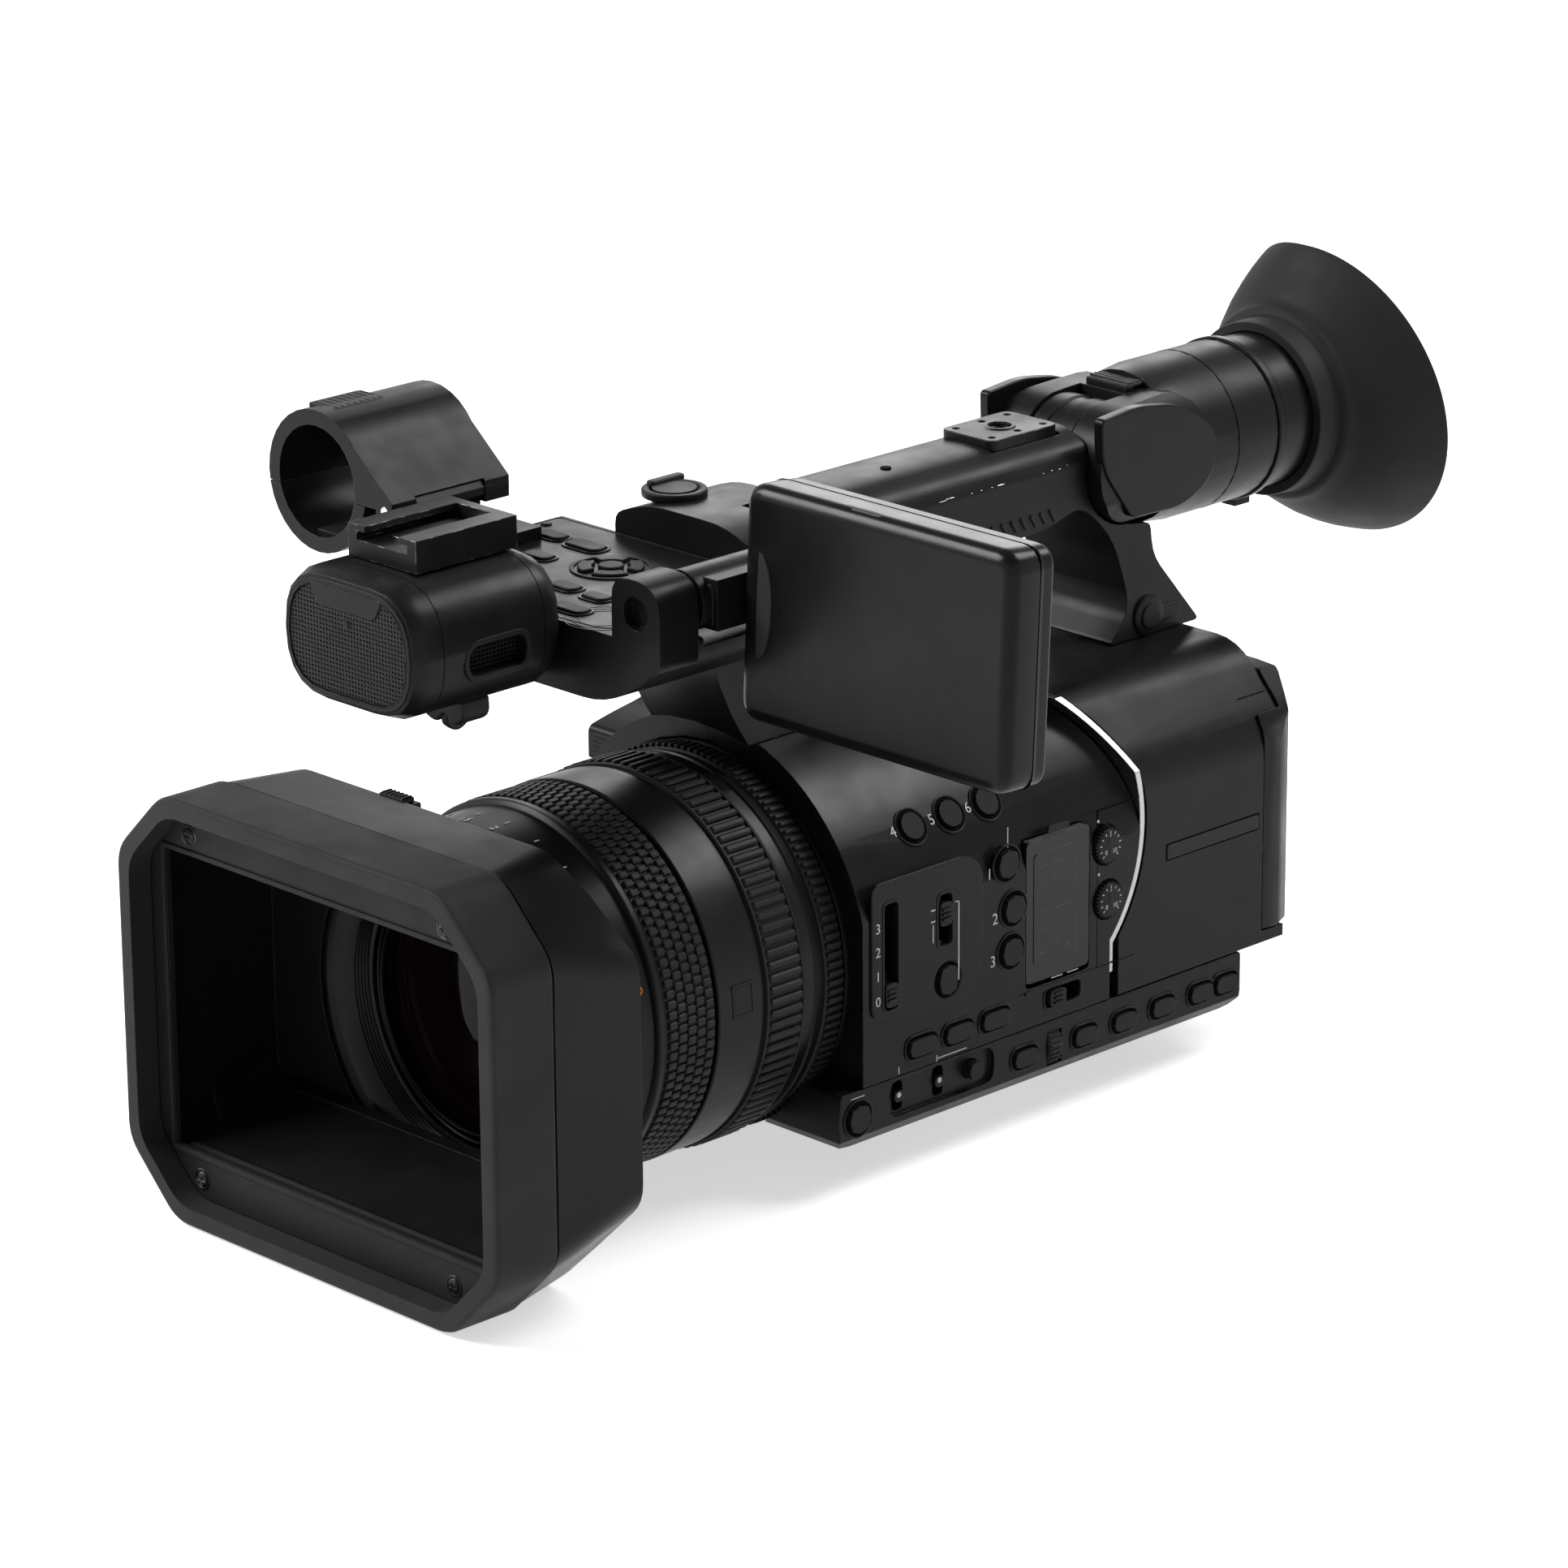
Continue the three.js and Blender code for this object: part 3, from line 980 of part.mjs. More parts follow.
// ---------- viewfinder ----------
function viewfinder() {
  const axis = [PIVOT_Y, PIVOT_Z];
  const tube = turned([
    [EVF_R - 3, TUBE_FRONT], [EVF_R - 1, TUBE_FRONT], [EVF_R, TUBE_FRONT + 8], [EVF_R, EVF_REAR], [EVF_R - 3, EVF_REAR],
  ], 0, EVF_Z, 32);
  const cheek = prism('x', rounded([
    [PIVOT_Y, PIVOT_Z - HUB_R, 1], [CHEEK_REAR - 8, PIVOT_Z - HUB_R + 1, 6], [CHEEK_REAR, PIVOT_Z - 4, 8],
    [CHEEK_REAR - 8, PIVOT_Z + HUB_R + 1, 8], [PIVOT_Y, PIVOT_Z + HUB_R, 1],
  ], 2), -HUB_HALF_W, HUB_HALF_W, 0, 3);
  const lugRoom = rod('x', HUB_R + 4, -LUG_HALF_W - GAP, LUG_HALF_W + GAP, axis, 28)
    .subtract(box(-FAR, FAR, PIVOT_Y + 8.2, FAR, -FAR, FAR));
  const body = rod('x', HUB_R, -HUB_HALF_W, HUB_HALF_W, axis, 32)
    .add(cheek)
    .intersect(rod('y', EVF_R + 1, PIVOT_Y - 30, PIVOT_Y + 40, [0, EVF_Z + 1], 36))
    .add(tube)
    .subtract(lugRoom)
    .subtract(rod('x', PIVOT_PIN_R + GAP, 2.6 - HUB_HALF_W, HUB_HALF_W - 2.6, axis, 12))
    .subtract(rod('y', EVF_R - 3, TUBE_FRONT + 3, FAR, [0, EVF_Z], 32));
  add('viewfinder_body', body, 'body');

  add('viewfinder_collar', turned([
    [EVF_R - 6, EVF_REAR - 10], [EVF_R - 3 - GAP, EVF_REAR - 10], [EVF_R - 3 - GAP, EVF_REAR + GAP], [COLLAR_R + 0.6, EVF_REAR + GAP],
    [COLLAR_R, EVF_REAR + 3], [COLLAR_R, COLLAR_REAR], [COLLAR_R - 4, COLLAR_REAR], [COLLAR_R - 4, EVF_REAR], [EVF_R - 6, EVF_REAR],
  ], 0, EVF_Z, 32), 'matt');
  const inner = COLLAR_R - 4 - GAP;
  add('eyepiece_lens', turned([
    [0, EVF_REAR + 8], [inner, EVF_REAR + 8], [inner, EVF_REAR + 14], [inner * 0.6, EVF_REAR + 16.5], [0, EVF_REAR + 17.6],
  ], 0, EVF_Z, 24), 'glass');
  eyecup();
  add('diopter_lever', box(-2.5, 2.5, EVF_REAR + 5, EVF_REAR + 11, EVF_Z - COLLAR_R - 4, EVF_Z - COLLAR_R - GAP), 'matt');
}

// A flared rubber cup whose rim leans back towards its lower edge.
function eyecup() {
  const sides = 32;
  const profile = [
    [COLLAR_R + GAP, COLLAR_REAR - 10], [COLLAR_R + GAP + CUP_WALL, COLLAR_REAR - 10], [COLLAR_R + GAP + CUP_WALL, COLLAR_REAR - 2],
    [28.5, 166], [34, 172], [39.5, 179], [CUP_RIM_R, CUP_Y], [CUP_RIM_R - CUP_WALL, CUP_Y], [37, 179.6], [31.4, 173], [25.5, 167.6],
    [COLLAR_R - 1, 165], [COLLAR_R - 1, COLLAR_REAR + GAP], [COLLAR_R + GAP, COLLAR_REAR + GAP],
  ];
  const points = profile.map(([r, y]) => new THREE.Vector2(r, y));
  points.push(points[0].clone());
  const cup = new THREE.LatheGeometry(points, sides);
  const place = cup.attributes.position;
  for (let i = 0; i < place.count; i += 1) {
    const share = Math.max(0, (place.getY(i) - COLLAR_REAR) / (CUP_Y - COLLAR_REAR));
    const wing = CUP_WING * Math.max(0, -place.getX(i) / CUP_RIM_R) ** 1.5;
    place.setY(i, place.getY(i) + share * (wing - CUP_SLANT * place.getZ(i)));
  }
  add('eyecup', solid(cup.translate(0, 0, EVF_Z)), 'rubber');
}

lens();
hood();
baseTray();
leftCover();
rearCover();
keys();
sliders();
shoulderKeys();
grip();
strap();
shoulderCover();
sockets();
handle();
handleControls();
head();
micHolder();
screen();
viewfinder();
export default camcorder;
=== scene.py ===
"""A handheld camcorder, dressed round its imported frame.

Sizes are written in millimetres and turned into metres where a mesh is made. Points nearer
than a weld's length in metres are merged, faces that meet under FLAT_ANGLE degrees are one
face, and a rounded corner takes up at most CORNER_SHARE of each side.
+X is the operator's left, the lens looks along -Y and +Z is up.
"""

import json
import logging
import math
import random
from collections.abc import Iterator
from contextlib import contextmanager
from dataclasses import dataclass, field
from enum import Enum

import bpy
from mathutils import Matrix, Vector


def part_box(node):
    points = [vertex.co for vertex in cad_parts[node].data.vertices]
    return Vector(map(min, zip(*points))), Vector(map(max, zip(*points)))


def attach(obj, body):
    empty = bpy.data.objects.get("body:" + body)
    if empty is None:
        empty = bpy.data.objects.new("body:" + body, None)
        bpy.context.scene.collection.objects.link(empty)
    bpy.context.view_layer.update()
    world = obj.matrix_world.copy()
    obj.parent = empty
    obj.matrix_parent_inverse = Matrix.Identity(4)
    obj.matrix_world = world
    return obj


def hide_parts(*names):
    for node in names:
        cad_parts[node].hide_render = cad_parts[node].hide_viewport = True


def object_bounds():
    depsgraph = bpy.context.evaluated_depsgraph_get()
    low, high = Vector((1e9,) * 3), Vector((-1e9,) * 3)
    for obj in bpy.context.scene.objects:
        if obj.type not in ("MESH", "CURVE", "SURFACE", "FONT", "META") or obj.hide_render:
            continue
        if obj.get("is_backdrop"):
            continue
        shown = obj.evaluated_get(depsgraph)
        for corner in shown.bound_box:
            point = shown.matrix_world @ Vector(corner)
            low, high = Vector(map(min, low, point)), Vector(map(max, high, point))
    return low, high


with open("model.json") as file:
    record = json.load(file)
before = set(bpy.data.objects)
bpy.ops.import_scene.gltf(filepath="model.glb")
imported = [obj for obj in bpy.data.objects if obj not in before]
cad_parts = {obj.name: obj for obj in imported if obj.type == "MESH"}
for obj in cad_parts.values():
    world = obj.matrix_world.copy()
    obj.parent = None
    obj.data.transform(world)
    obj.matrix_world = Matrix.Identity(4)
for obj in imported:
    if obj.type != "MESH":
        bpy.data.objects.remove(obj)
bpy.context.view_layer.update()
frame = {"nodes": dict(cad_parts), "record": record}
log = logging.getLogger("camcorder")

MM = 0.001
WELD = 1e-6
CAD_WELD = 2e-6
FLAT_ANGLE = 0.3
CORNER_SHARE = 0.48
FULL_TURN = 2 * math.pi
Piece = bpy.types.Object
Socket = bpy.types.NodeSocket
Point = tuple[float, float]
Place = tuple[float, float, float]
Span = tuple[float, float, float, float]
Loop = list[Point]


class Axis(Enum):
    """A direction that an outline is pushed along, or that a round piece turns about."""

    X = "x"
    Y = "y"
    Z = "z"

    @property
    def vector(self) -> Vector:
        """The unit vector of the axis."""
        return Vector([float(self.value == letter) for letter in "xyz"])

    @property
    def turn(self) -> Matrix:
        """The turn that lays a flat outline square to the axis.

        Returns:
            A matrix that takes (a, b, depth) to (depth, a, b) for X, (a, -depth, b) for Y
            and (a, b, depth) for Z.
        """
        rows = {
            Axis.X: ((0, 0, 1), (1, 0, 0), (0, 1, 0)),
            Axis.Y: ((1, 0, 0), (0, 0, -1), (0, 1, 0)),
            Axis.Z: ((1, 0, 0), (0, 1, 0), (0, 0, 1)),
        }
        return Matrix(rows[self]).to_4x4()


class Pattern(Enum):
    """The relief that a finish carries beside its grain."""

    PLAIN = "plain"
    WEAVE = "weave"
    HOLES = "holes"
    TRACKS = "tracks"
    BRUSHED = "brushed"


# ---------- finishes ----------
@dataclass(frozen=True)
class Finish:
    """How a moulded, woven or metal surface looks.

    Lengths are in millimetres. Wear is how much of the paler under-colour shows on edges.
    The slot is the record's material slot that such a piece usually has; it is not used.
    """

    name: str
    colour: Place
    roughness: float = 0.45
    slot: str = "body_plastic"
    metallic: float = 0.0
    specular: float = 0.14
    grain: float = 0.45
    relief: float = 0.012
    mottle: float = 0.14
    smudge: float = 0.05
    edge: float = 0.35
    wear: float = 0.0
    worn: Place = (0.16, 0.16, 0.16)
    coat: float = 0.0
    pattern: Pattern = Pattern.PLAIN
    pitch: float = 1.2

    def material(self) -> bpy.types.Material:
        """The finish as a node material, made once and shared."""
        found = bpy.data.materials.get(self.name)
        if found:
            return found
        made = bpy.data.materials.new(self.name)
        made.use_nodes = True
        FinishNodes(self, made.node_tree).build()
        return made


@dataclass
class FinishNodes:
    """The node tree of one finish.

    Wave period is the period of the wave texture's bands at a scale of one, in metres.
    Hole is how far from its middle a hole starts and is fully open, as shares of the pitch.
    """

    finish: Finish
    tree: bpy.types.NodeTree
    wave_period: float = 0.31416
    hole: Point = (0.34, 0.26)
    track_pitch: float = 3.1
    woven_depth: float = 0.25
    hole_depth: float = 0.3
    worn_radius: float = 0.55
    cloud_size: float = 28
    smudge_size: float = 11
    scuff_size: float = 3.5

    def add(self, kind: str, **settings: object) -> bpy.types.Node:
        """Adds a node.

        Args:
            kind: the node's type, without its common beginning.
            settings: properties set on the node.

        Returns:
            The node.
        """
        node = self.tree.nodes.new(f"ShaderNode{kind}")
        for key, value in settings.items():
            setattr(node, key, value)
        return node

    def join(self, start: Socket, end: Socket) -> None:
        """Links two sockets."""
        self.tree.links.new(start, end)

    def noise(self, size: float, detail: float = 2.0, stretch: Place = (1, 1, 1)) -> Socket:
        """Noise in Object coordinates.

        Args:
            size: size of a grain in millimetres.
            detail: how many finer layers it has.
            stretch: scale of each direction.

        Returns:
            The noise value, from 0 to 1.
        """
        place = self.add("Mapping")
        place.inputs["Scale"].default_value = stretch
        self.join(self.spot, place.inputs["Vector"])
        cloud = self.add("TexNoise")
        cloud.inputs["Scale"].default_value = 1 / (size * MM)
        cloud.inputs["Detail"].default_value = detail
        self.join(place.outputs[0], cloud.inputs["Vector"])
        return cloud.outputs["Fac"]

    def ranged(self, value: Socket, start: Point, end: Point) -> Socket:
        """Maps a value from one range to another, held within it."""
        node = self.add("MapRange")
        for socket, number in zip(list(node.inputs)[1:5], (*start, *end)):
            socket.default_value = number
        self.join(value, node.inputs[0])
        return node.outputs[0]

    def maths(self, kind: str, first: Socket, second: Socket | float) -> Socket:
        """One step of arithmetic between a value and another value or number."""
        node = self.add("Math", operation=kind)
        self.join(first, node.inputs[0])
        if isinstance(second, (int, float)):
            node.inputs[1].default_value = second
        else:
            self.join(second, node.inputs[1])
        return node.outputs[0]

    def mixed(self, share: Socket, first: Socket | Place, second: Socket | Place) -> Socket:
        """Mixes two colours, each of which is a colour or a socket."""
        node = self.add("Mix", data_type="RGBA")
        self.join(share, node.inputs["Factor"])
        for socket, value in ((node.inputs[6], first), (node.inputs[7], second)):
            if isinstance(value, tuple):
                socket.default_value = (*value, 1)
            else:
                self.join(value, socket)
        return node.outputs[2]

    def wave(self, direction: str, pitch: float) -> Socket:
        """Bands along X, Y or Z, with their pitch in millimetres."""
        node = self.add("TexWave", wave_type="BANDS", bands_direction=direction)
        node.inputs["Scale"].default_value = self.wave_period / (pitch * MM)
        self.join(self.spot, node.inputs["Vector"])
        return node.outputs["Fac"]

    def dots(self, pitch: float) -> Socket:
        """Round holes on a square grid in X and Z, as a mask that is 1 inside a hole."""
        parts = self.add("SeparateXYZ")
        self.join(self.spot, parts.inputs[0])
        squares = []
        for axis in (0, 2):
            counted = self.maths("MULTIPLY", parts.outputs[axis], 1 / (pitch * MM))
            middle = self.maths("SUBTRACT", self.maths("FRACT", counted, 0.0), 0.5)
            squares.append(self.maths("MULTIPLY", middle, middle))
        away = self.maths("SQRT", self.maths("ADD", *squares), 0.0)
        return self.ranged(away, self.hole, (0.0, 1.0))

    def build(self) -> None:
        """Fills the tree: colour, roughness, relief, edge wear and pattern."""
        look = self.finish
        shader = next(node for node in self.tree.nodes if node.type == "BSDF_PRINCIPLED")
        self.spot = self.add("TexCoord").outputs["Object"]
        cloud = self.noise(self.cloud_size, 4)
        dark = tuple(part * (1 - look.mottle) for part in look.colour)
        light = tuple(min(1.0, part * (1 + look.mottle)) for part in look.colour)
        colour = self.mixed(self.ranged(cloud, (0.3, 0.7), (0, 1)), dark, light)
        rough_range = (max(0.02, look.roughness - look.smudge), min(1.0, look.roughness + look.smudge))
        rough = self.ranged(self.noise(self.smudge_size, 5), (0.32, 0.68), rough_range)
        height = self.noise(look.grain, 3)
        depth = look.relief
        if look.pattern is Pattern.WEAVE:
            height = self.maths("MULTIPLY", self.wave("Y", look.pitch), self.wave("Z", look.pitch))
            # Painted shade: the woven hollows are darkened to 45 percent, standing in for the shade between
            # the threads.
            colour = self.mixed(height, tuple(part * 0.45 for part in look.colour), colour)
            depth = self.woven_depth
        elif look.pattern is Pattern.HOLES:
            holes = self.dots(look.pitch)
            height = self.maths("SUBTRACT", height, holes)
            # Painted shade: the holes are coloured near-black, standing in for the shade behind the grille.
            colour = self.mixed(holes, colour, (0.001, 0.001, 0.001))
            rough = self.maths("MAXIMUM", rough, holes)
            depth = self.hole_depth
        elif look.pattern is Pattern.TRACKS:
            tracks = self.ranged(self.wave("Y", self.track_pitch), (0.72, 0.8), (0, 1))
            colour = self.mixed(tracks, colour, (0.55, 0.36, 0.1))
        elif look.pattern is Pattern.BRUSHED:
            height = self.noise(0.2, 2, (1, 0.04, 1))
        soft = self.add("Bevel", samples=4)
        soft.inputs["Radius"].default_value = look.edge * MM
        bump = self.add("Bump")
        bump.inputs["Distance"].default_value = depth * MM
        bump.inputs["Strength"].default_value = 0.9
        self.join(height, bump.inputs["Height"])
        self.join(soft.outputs[0], bump.inputs["Normal"])
        self.join(bump.outputs[0], shader.inputs["Normal"])
        if look.wear > 0:
            colour = self.mixed(self.edges(), colour, look.worn)
        self.join(colour, shader.inputs["Base Color"])
        self.join(rough, shader.inputs["Roughness"])
        for socket, value in (("Metallic", look.metallic), ("Specular IOR Level", look.specular),
                              ("Coat Weight", look.coat), ("Coat Roughness", 0.06)):
            shader.inputs[socket].default_value = value

    def edges(self) -> Socket:
        """A broken mask along outer edges, where the surface has rubbed pale."""
        wide = self.add("Bevel", samples=4)
        wide.inputs["Radius"].default_value = self.worn_radius * MM
        lean = self.add("VectorMath", operation="DOT_PRODUCT")
        self.join(wide.outputs[0], lean.inputs[0])
        self.join(self.add("NewGeometry").outputs["Normal"], lean.inputs[1])
        sharp = self.ranged(lean.outputs["Value"], (0.97, 0.86), (0, 1))
        broken = self.ranged(self.noise(self.scuff_size, 5), (0.5, 0.66), (0, self.finish.wear))
        return self.maths("MULTIPLY", sharp, broken)


SHELL = Finish("moulded shell", (0.0075, 0.0075, 0.0078), 0.36, wear=0.35, grain=0.3, relief=0.008)
SIDE = Finish("side cover", (0.0062, 0.0062, 0.0065), 0.3, wear=0.3, grain=0.3, relief=0.006)
HOOD = Finish("hood shell", (0.0085, 0.0085, 0.0088), 0.33, wear=0.25, mottle=0.1)
BAND = Finish("hood band rubber", (0.026, 0.026, 0.0265), 0.6, "hood_rubber", specular=0.16,
              relief=0.02, mottle=0.12, wear=0.2)
MASK = Finish("hood mask", (0.016, 0.016, 0.0165), 0.5, "matt_plastic", mottle=0.1, wear=0.15)
BLADE = Finish("shutter blade", (0.006, 0.006, 0.0063), 0.5, "matt_plastic", specular=0.1,
               mottle=0.3, wear=0.2)
RUBBER = Finish("ring rubber", (0.016, 0.016, 0.016), 0.5, "ribbed_rubber", specular=0.16,
                grain=0.25, relief=0.02, mottle=0.15)
CUP = Finish("eyecup rubber", (0.02, 0.0192, 0.0192), 0.6, "ribbed_rubber", grain=0.3,
             relief=0.02, mottle=0.12)
SATIN = Finish("barrel satin", (0.0075, 0.0075, 0.0078), 0.33, "barrel", grain=0.25,
               relief=0.005, edge=0.2)
MATT = Finish("matt key plastic", (0.0095, 0.0095, 0.0098), 0.45, "matt_plastic", relief=0.01,
              mottle=0.15, edge=0.25, wear=0.15)
GLOSS = Finish("gloss screen back", (0.0065, 0.0065, 0.0068), 0.26, "gloss_plastic",
               specular=0.16, relief=0.002, edge=0.5, smudge=0.03, mottle=0.08)
PANE = Finish("smoked window", (0.006, 0.0065, 0.007), 0.14, "gloss_plastic", specular=0.2,
              relief=0.001, coat=0.1, smudge=0.04)
BLACK_METAL = Finish("blackened metal", (0.012, 0.012, 0.0125), 0.36, "black_metal",
                     metallic=0.3, wear=0.7, worn=(0.5, 0.5, 0.48), pattern=Pattern.BRUSHED)
STEEL = Finish("bright steel", (0.62, 0.62, 0.6), 0.28, "alloy", metallic=1.0, relief=0.004,
               mottle=0.1, pattern=Pattern.BRUSHED)
CHROME = Finish("trim chrome", (0.4, 0.405, 0.41), 0.24, "alloy", metallic=1.0, relief=0.001,
                mottle=0.05)
# Its faint red-purple colour is a painted reflection, standing in for the reddish glint of the lens coating.
GLASS = Finish("coated front glass", (0.006, 0.0022, 0.0032), 0.04, "optic", specular=0.1,
               relief=0.0002, smudge=0.02, edge=0.1)
DISPLAY = Finish("display pane", (0.004, 0.0045, 0.005), 0.09, specular=0.4, relief=0.0005,
                 coat=0.1, smudge=0.04)
WEBBING = Finish("strap webbing", (0.014, 0.014, 0.0145), 0.85, "webbing", specular=0.12,
                 pattern=Pattern.WEAVE, pitch=1.6)
LEATHER = Finish("strap pad leather", (0.019, 0.018, 0.018), 0.6, "webbing", grain=1.1,
                 relief=0.12, mottle=0.2)
BOARD = Finish("circuit board", (0.01, 0.06, 0.025), 0.45, pattern=Pattern.TRACKS)
GRILLE = Finish("microphone grille", (0.017, 0.017, 0.017), 0.42, "black_metal", metallic=0.2,
                pattern=Pattern.HOLES, pitch=1.15)
WHITE = Finish("white marking", (0.62, 0.62, 0.61), 0.5, relief=0.002, mottle=0.08, edge=0.05)
AMBER = Finish("orange marking", (0.55, 0.17, 0.03), 0.5, "barrel", relief=0.002, mottle=0.08,
               edge=0.05)
RED = Finish("record red", (0.42, 0.015, 0.012), 0.35, "matt_plastic", relief=0.004,
             mottle=0.12, wear=0.2)
FADED = Finish("faded marking", (0.07, 0.07, 0.073), 0.4, "gloss_plastic", relief=0.002,
               mottle=0.15, edge=0.05)
# Painted shade: a near-black finish for gaps, seams, slots and hole floors, standing in for the shade inside
# them.
PAINTED_SHADE = Finish("dark recess", (0.002, 0.002, 0.002), 0.8, specular=0.05, mottle=0.3)


# ---------- the bench: making and shaping meshes ----------
def deselect() -> None:
    """Clears the selection, so that the next operator acts only on its own piece."""
    bpy.ops.object.select_all(action="DESELECT")


def pick(*pieces: Piece) -> Piece:
    """Selects the pieces alone, makes the first one active and returns it."""
    deselect()
    for piece in pieces:
        piece.select_set(True)
    bpy.context.view_layer.objects.active = pieces[0]
    return pieces[0]


def linked(piece: Piece) -> Piece:
    """Puts a new object in the scene."""
    bpy.context.scene.collection.objects.link(piece)
    return piece


@contextmanager
def opened(piece: Piece) -> Iterator[None]:
    """Opens a piece's mesh for editing, with all of it selected."""
    pick(piece)
    bpy.ops.object.mode_set(mode="EDIT")
    bpy.ops.mesh.select_all(action="SELECT")
    yield
    bpy.ops.object.mode_set(mode="OBJECT")


def modify(piece: Piece, kind: str, **settings: object) -> None:
    """Adds a modifier with the given properties and applies it."""
    pick(piece)
    added = piece.modifiers.new(kind.title(), kind)
    for key, value in settings.items():
        setattr(added, key, value)
    bpy.ops.object.modifier_apply(modifier=added.name)


def smooth(piece: Piece, angle: float = 32) -> Piece:
    """Shades the piece smooth up to an angle in degrees, with flats kept flat."""
    pick(piece)
    bpy.ops.object.shade_smooth_by_angle(angle=math.radians(angle))
    modify(piece, "WEIGHTED_NORMAL", keep_sharp=True, weight=80)
    return piece


def outward(piece: Piece) -> Piece:
    """Merges doubled points and turns every face outwards."""
    with opened(piece):
        bpy.ops.mesh.remove_doubles(threshold=WELD)
        bpy.ops.mesh.normals_make_consistent(inside=False)
    return piece


def circle(centre: Point, radius: float, count: int = 32) -> Loop:
    """Points round a circle."""
    turns = [FULL_TURN * i / count for i in range(count)]
    return [(centre[0] + radius * math.cos(t), centre[1] + radius * math.sin(t)) for t in turns]


def corner_arc(back: Point, corner: Point, ahead: Point, radius: float, steps: int) -> Loop:
    """The curve that rounds a corner between its two neighbours."""
    here = Vector(corner[:2])
    behind, beyond = Vector(back[:2]) - here, Vector(ahead[:2]) - here
    reach = min(radius, CORNER_SHARE * behind.length, CORNER_SHARE * beyond.length)
    start, end = here + behind.normalized() * reach, here + beyond.normalized() * reach
    shares = [step / steps for step in range(steps + 1)]
    return [tuple(start * (1 - t) ** 2 + here * (2 * t * (1 - t)) + end * t * t) for t in shares]


def round_loop(points: list[tuple[float, ...]], radius: float, steps: int = 5) -> Loop:
    """A closed outline with its corners rounded.

    Args:
        points: corners, each with its own radius as a third number if it has one.
        radius: the radius of the other corners.
        steps: points in each corner, less one.

    Returns:
        The rounded outline.
    """
    made: Loop = []
    for i, corner in enumerate(points):
        own = corner[2] if len(corner) > 2 else radius
        made += corner_arc(points[i - 1], corner, points[(i + 1) % len(points)], own, steps)
    return made


def rect(a0: float, a1: float, b0: float, b1: float, radius: float = 0.3) -> Loop:
    """A rounded rectangle."""
    return round_loop([(a0, b0), (a1, b0), (a1, b1), (a0, b1)], radius)


def framed(span: Span, edge: float, outer: float, inner: float) -> list[Loop]:
    """A rounded rectangle and the one inside it, as a frame.

    Args:
        span: the outer rectangle's two limits across, then its two limits up.
        edge: how wide the frame is.
        outer: the outer corners' radius.
        inner: the inner corners' radius.

    Returns:
        Both outlines.
    """
    a0, a1, b0, b1 = span
    return [rect(*span, outer), rect(a0 + edge, a1 - edge, b0 + edge, b1 - edge, inner)]


def around(a: float, b: float, wide: float, high: float) -> Span:
    """The limits of a rectangle from its middle and its two half sizes."""
    return a - wide, a + wide, b - high, b + high


def traced(name: str, loops: list[list[Place]], closed: bool = True, **settings: object) -> Piece:
    """Draws lines as one curve and turns it into a mesh.

    Args:
        name: the piece's name.
        loops: the points of each line, in metres.
        closed: whether each line's last point joins its first.
        settings: properties of the curve.

    Returns:
        The mesh.
    """
    line = bpy.data.curves.new(name, "CURVE")
    for key, value in settings.items():
        setattr(line, key, value)
    for loop in loops:
        spline = line.splines.new("POLY")
        spline.points.add(len(loop) - 1)
        for point, place in zip(spline.points, loop):
            point.co = (*place, 1)
        spline.use_cyclic_u = closed
    pick(linked(bpy.data.objects.new(name, line)))
    bpy.ops.object.convert(target="MESH")
    return bpy.context.object


def plate(name: str, axis: Axis, loops: list[Loop], low: float, high: float, bevel: float = 0.25) -> Piece:
    """A flat piece cut to an outline, with its edges eased.

    Args:
        name: the piece's name.
        axis: the direction of its thickness.
        loops: the outline, then the outlines of its holes, in millimetres.
        low: where its thickness starts.
        high: where it ends.
        bevel: how far its edges are eased.

    Returns:
        The piece.
    """
    flat = [[(a * MM, b * MM, 0) for a, b in loop] for loop in loops]
    piece = traced(name, flat, dimensions="2D", fill_mode="BOTH", offset=-bevel * MM, bevel_resolution=2,
                   extrude=max(WELD, ((high - low) / 2 - bevel) * MM), bevel_depth=bevel * MM)
    middle = axis.vector * (low + high) / 2 * MM
    piece.data.transform(Matrix.Translation(middle) @ axis.turn)
    return smooth(outward(piece))


def lathe(name: str, profile: list[Point], middle: Point, steps: int = 96, axis: Axis = Axis.Y,
          closed: bool = True) -> Piece:
    """A piece turned about an axis.

    Args:
        name: the piece's name.
        profile: (radius, place along the axis) pairs, in millimetres.
        middle: where the axis passes, in the two other directions.
        steps: how many faces go round.
        axis: the axis.
        closed: whether the last point joins the first.

    Returns:
        The piece.
    """
    a, b = middle
    spots = {Axis.X: lambda r, s: (s, a + r, b), Axis.Y: lambda r, s: (a + r, s, b),
             Axis.Z: lambda r, s: (a + r, b, s)}
    spot = spots[axis]
    piece = traced(name, [[tuple(Vector(spot(*point)) * MM) for point in profile]], closed, dimensions="3D")
    with opened(piece):
        bpy.ops.mesh.spin(steps=steps, angle=FULL_TURN, center=Vector(spot(0, 0)) * MM, axis=axis.vector)
    return smooth(outward(piece))


def block(name: str, low: Place, high: Place, bevel: float = 0.3, segments: int = 2) -> Piece:
    """A squared piece with eased edges, between two corners in millimetres."""
    deselect()
    bpy.ops.mesh.primitive_cube_add(size=1)
    piece = bpy.context.object
    piece.name = name
    size = Vector(high) - Vector(low)
    middle = (Vector(high) + Vector(low)) / 2
    piece.data.transform(Matrix.Translation(middle * MM) @ Matrix.Diagonal((*(size * MM), 1)))
    modify(piece, "BEVEL", width=bevel * MM, segments=segments, limit_method="NONE")
    return smooth(piece)


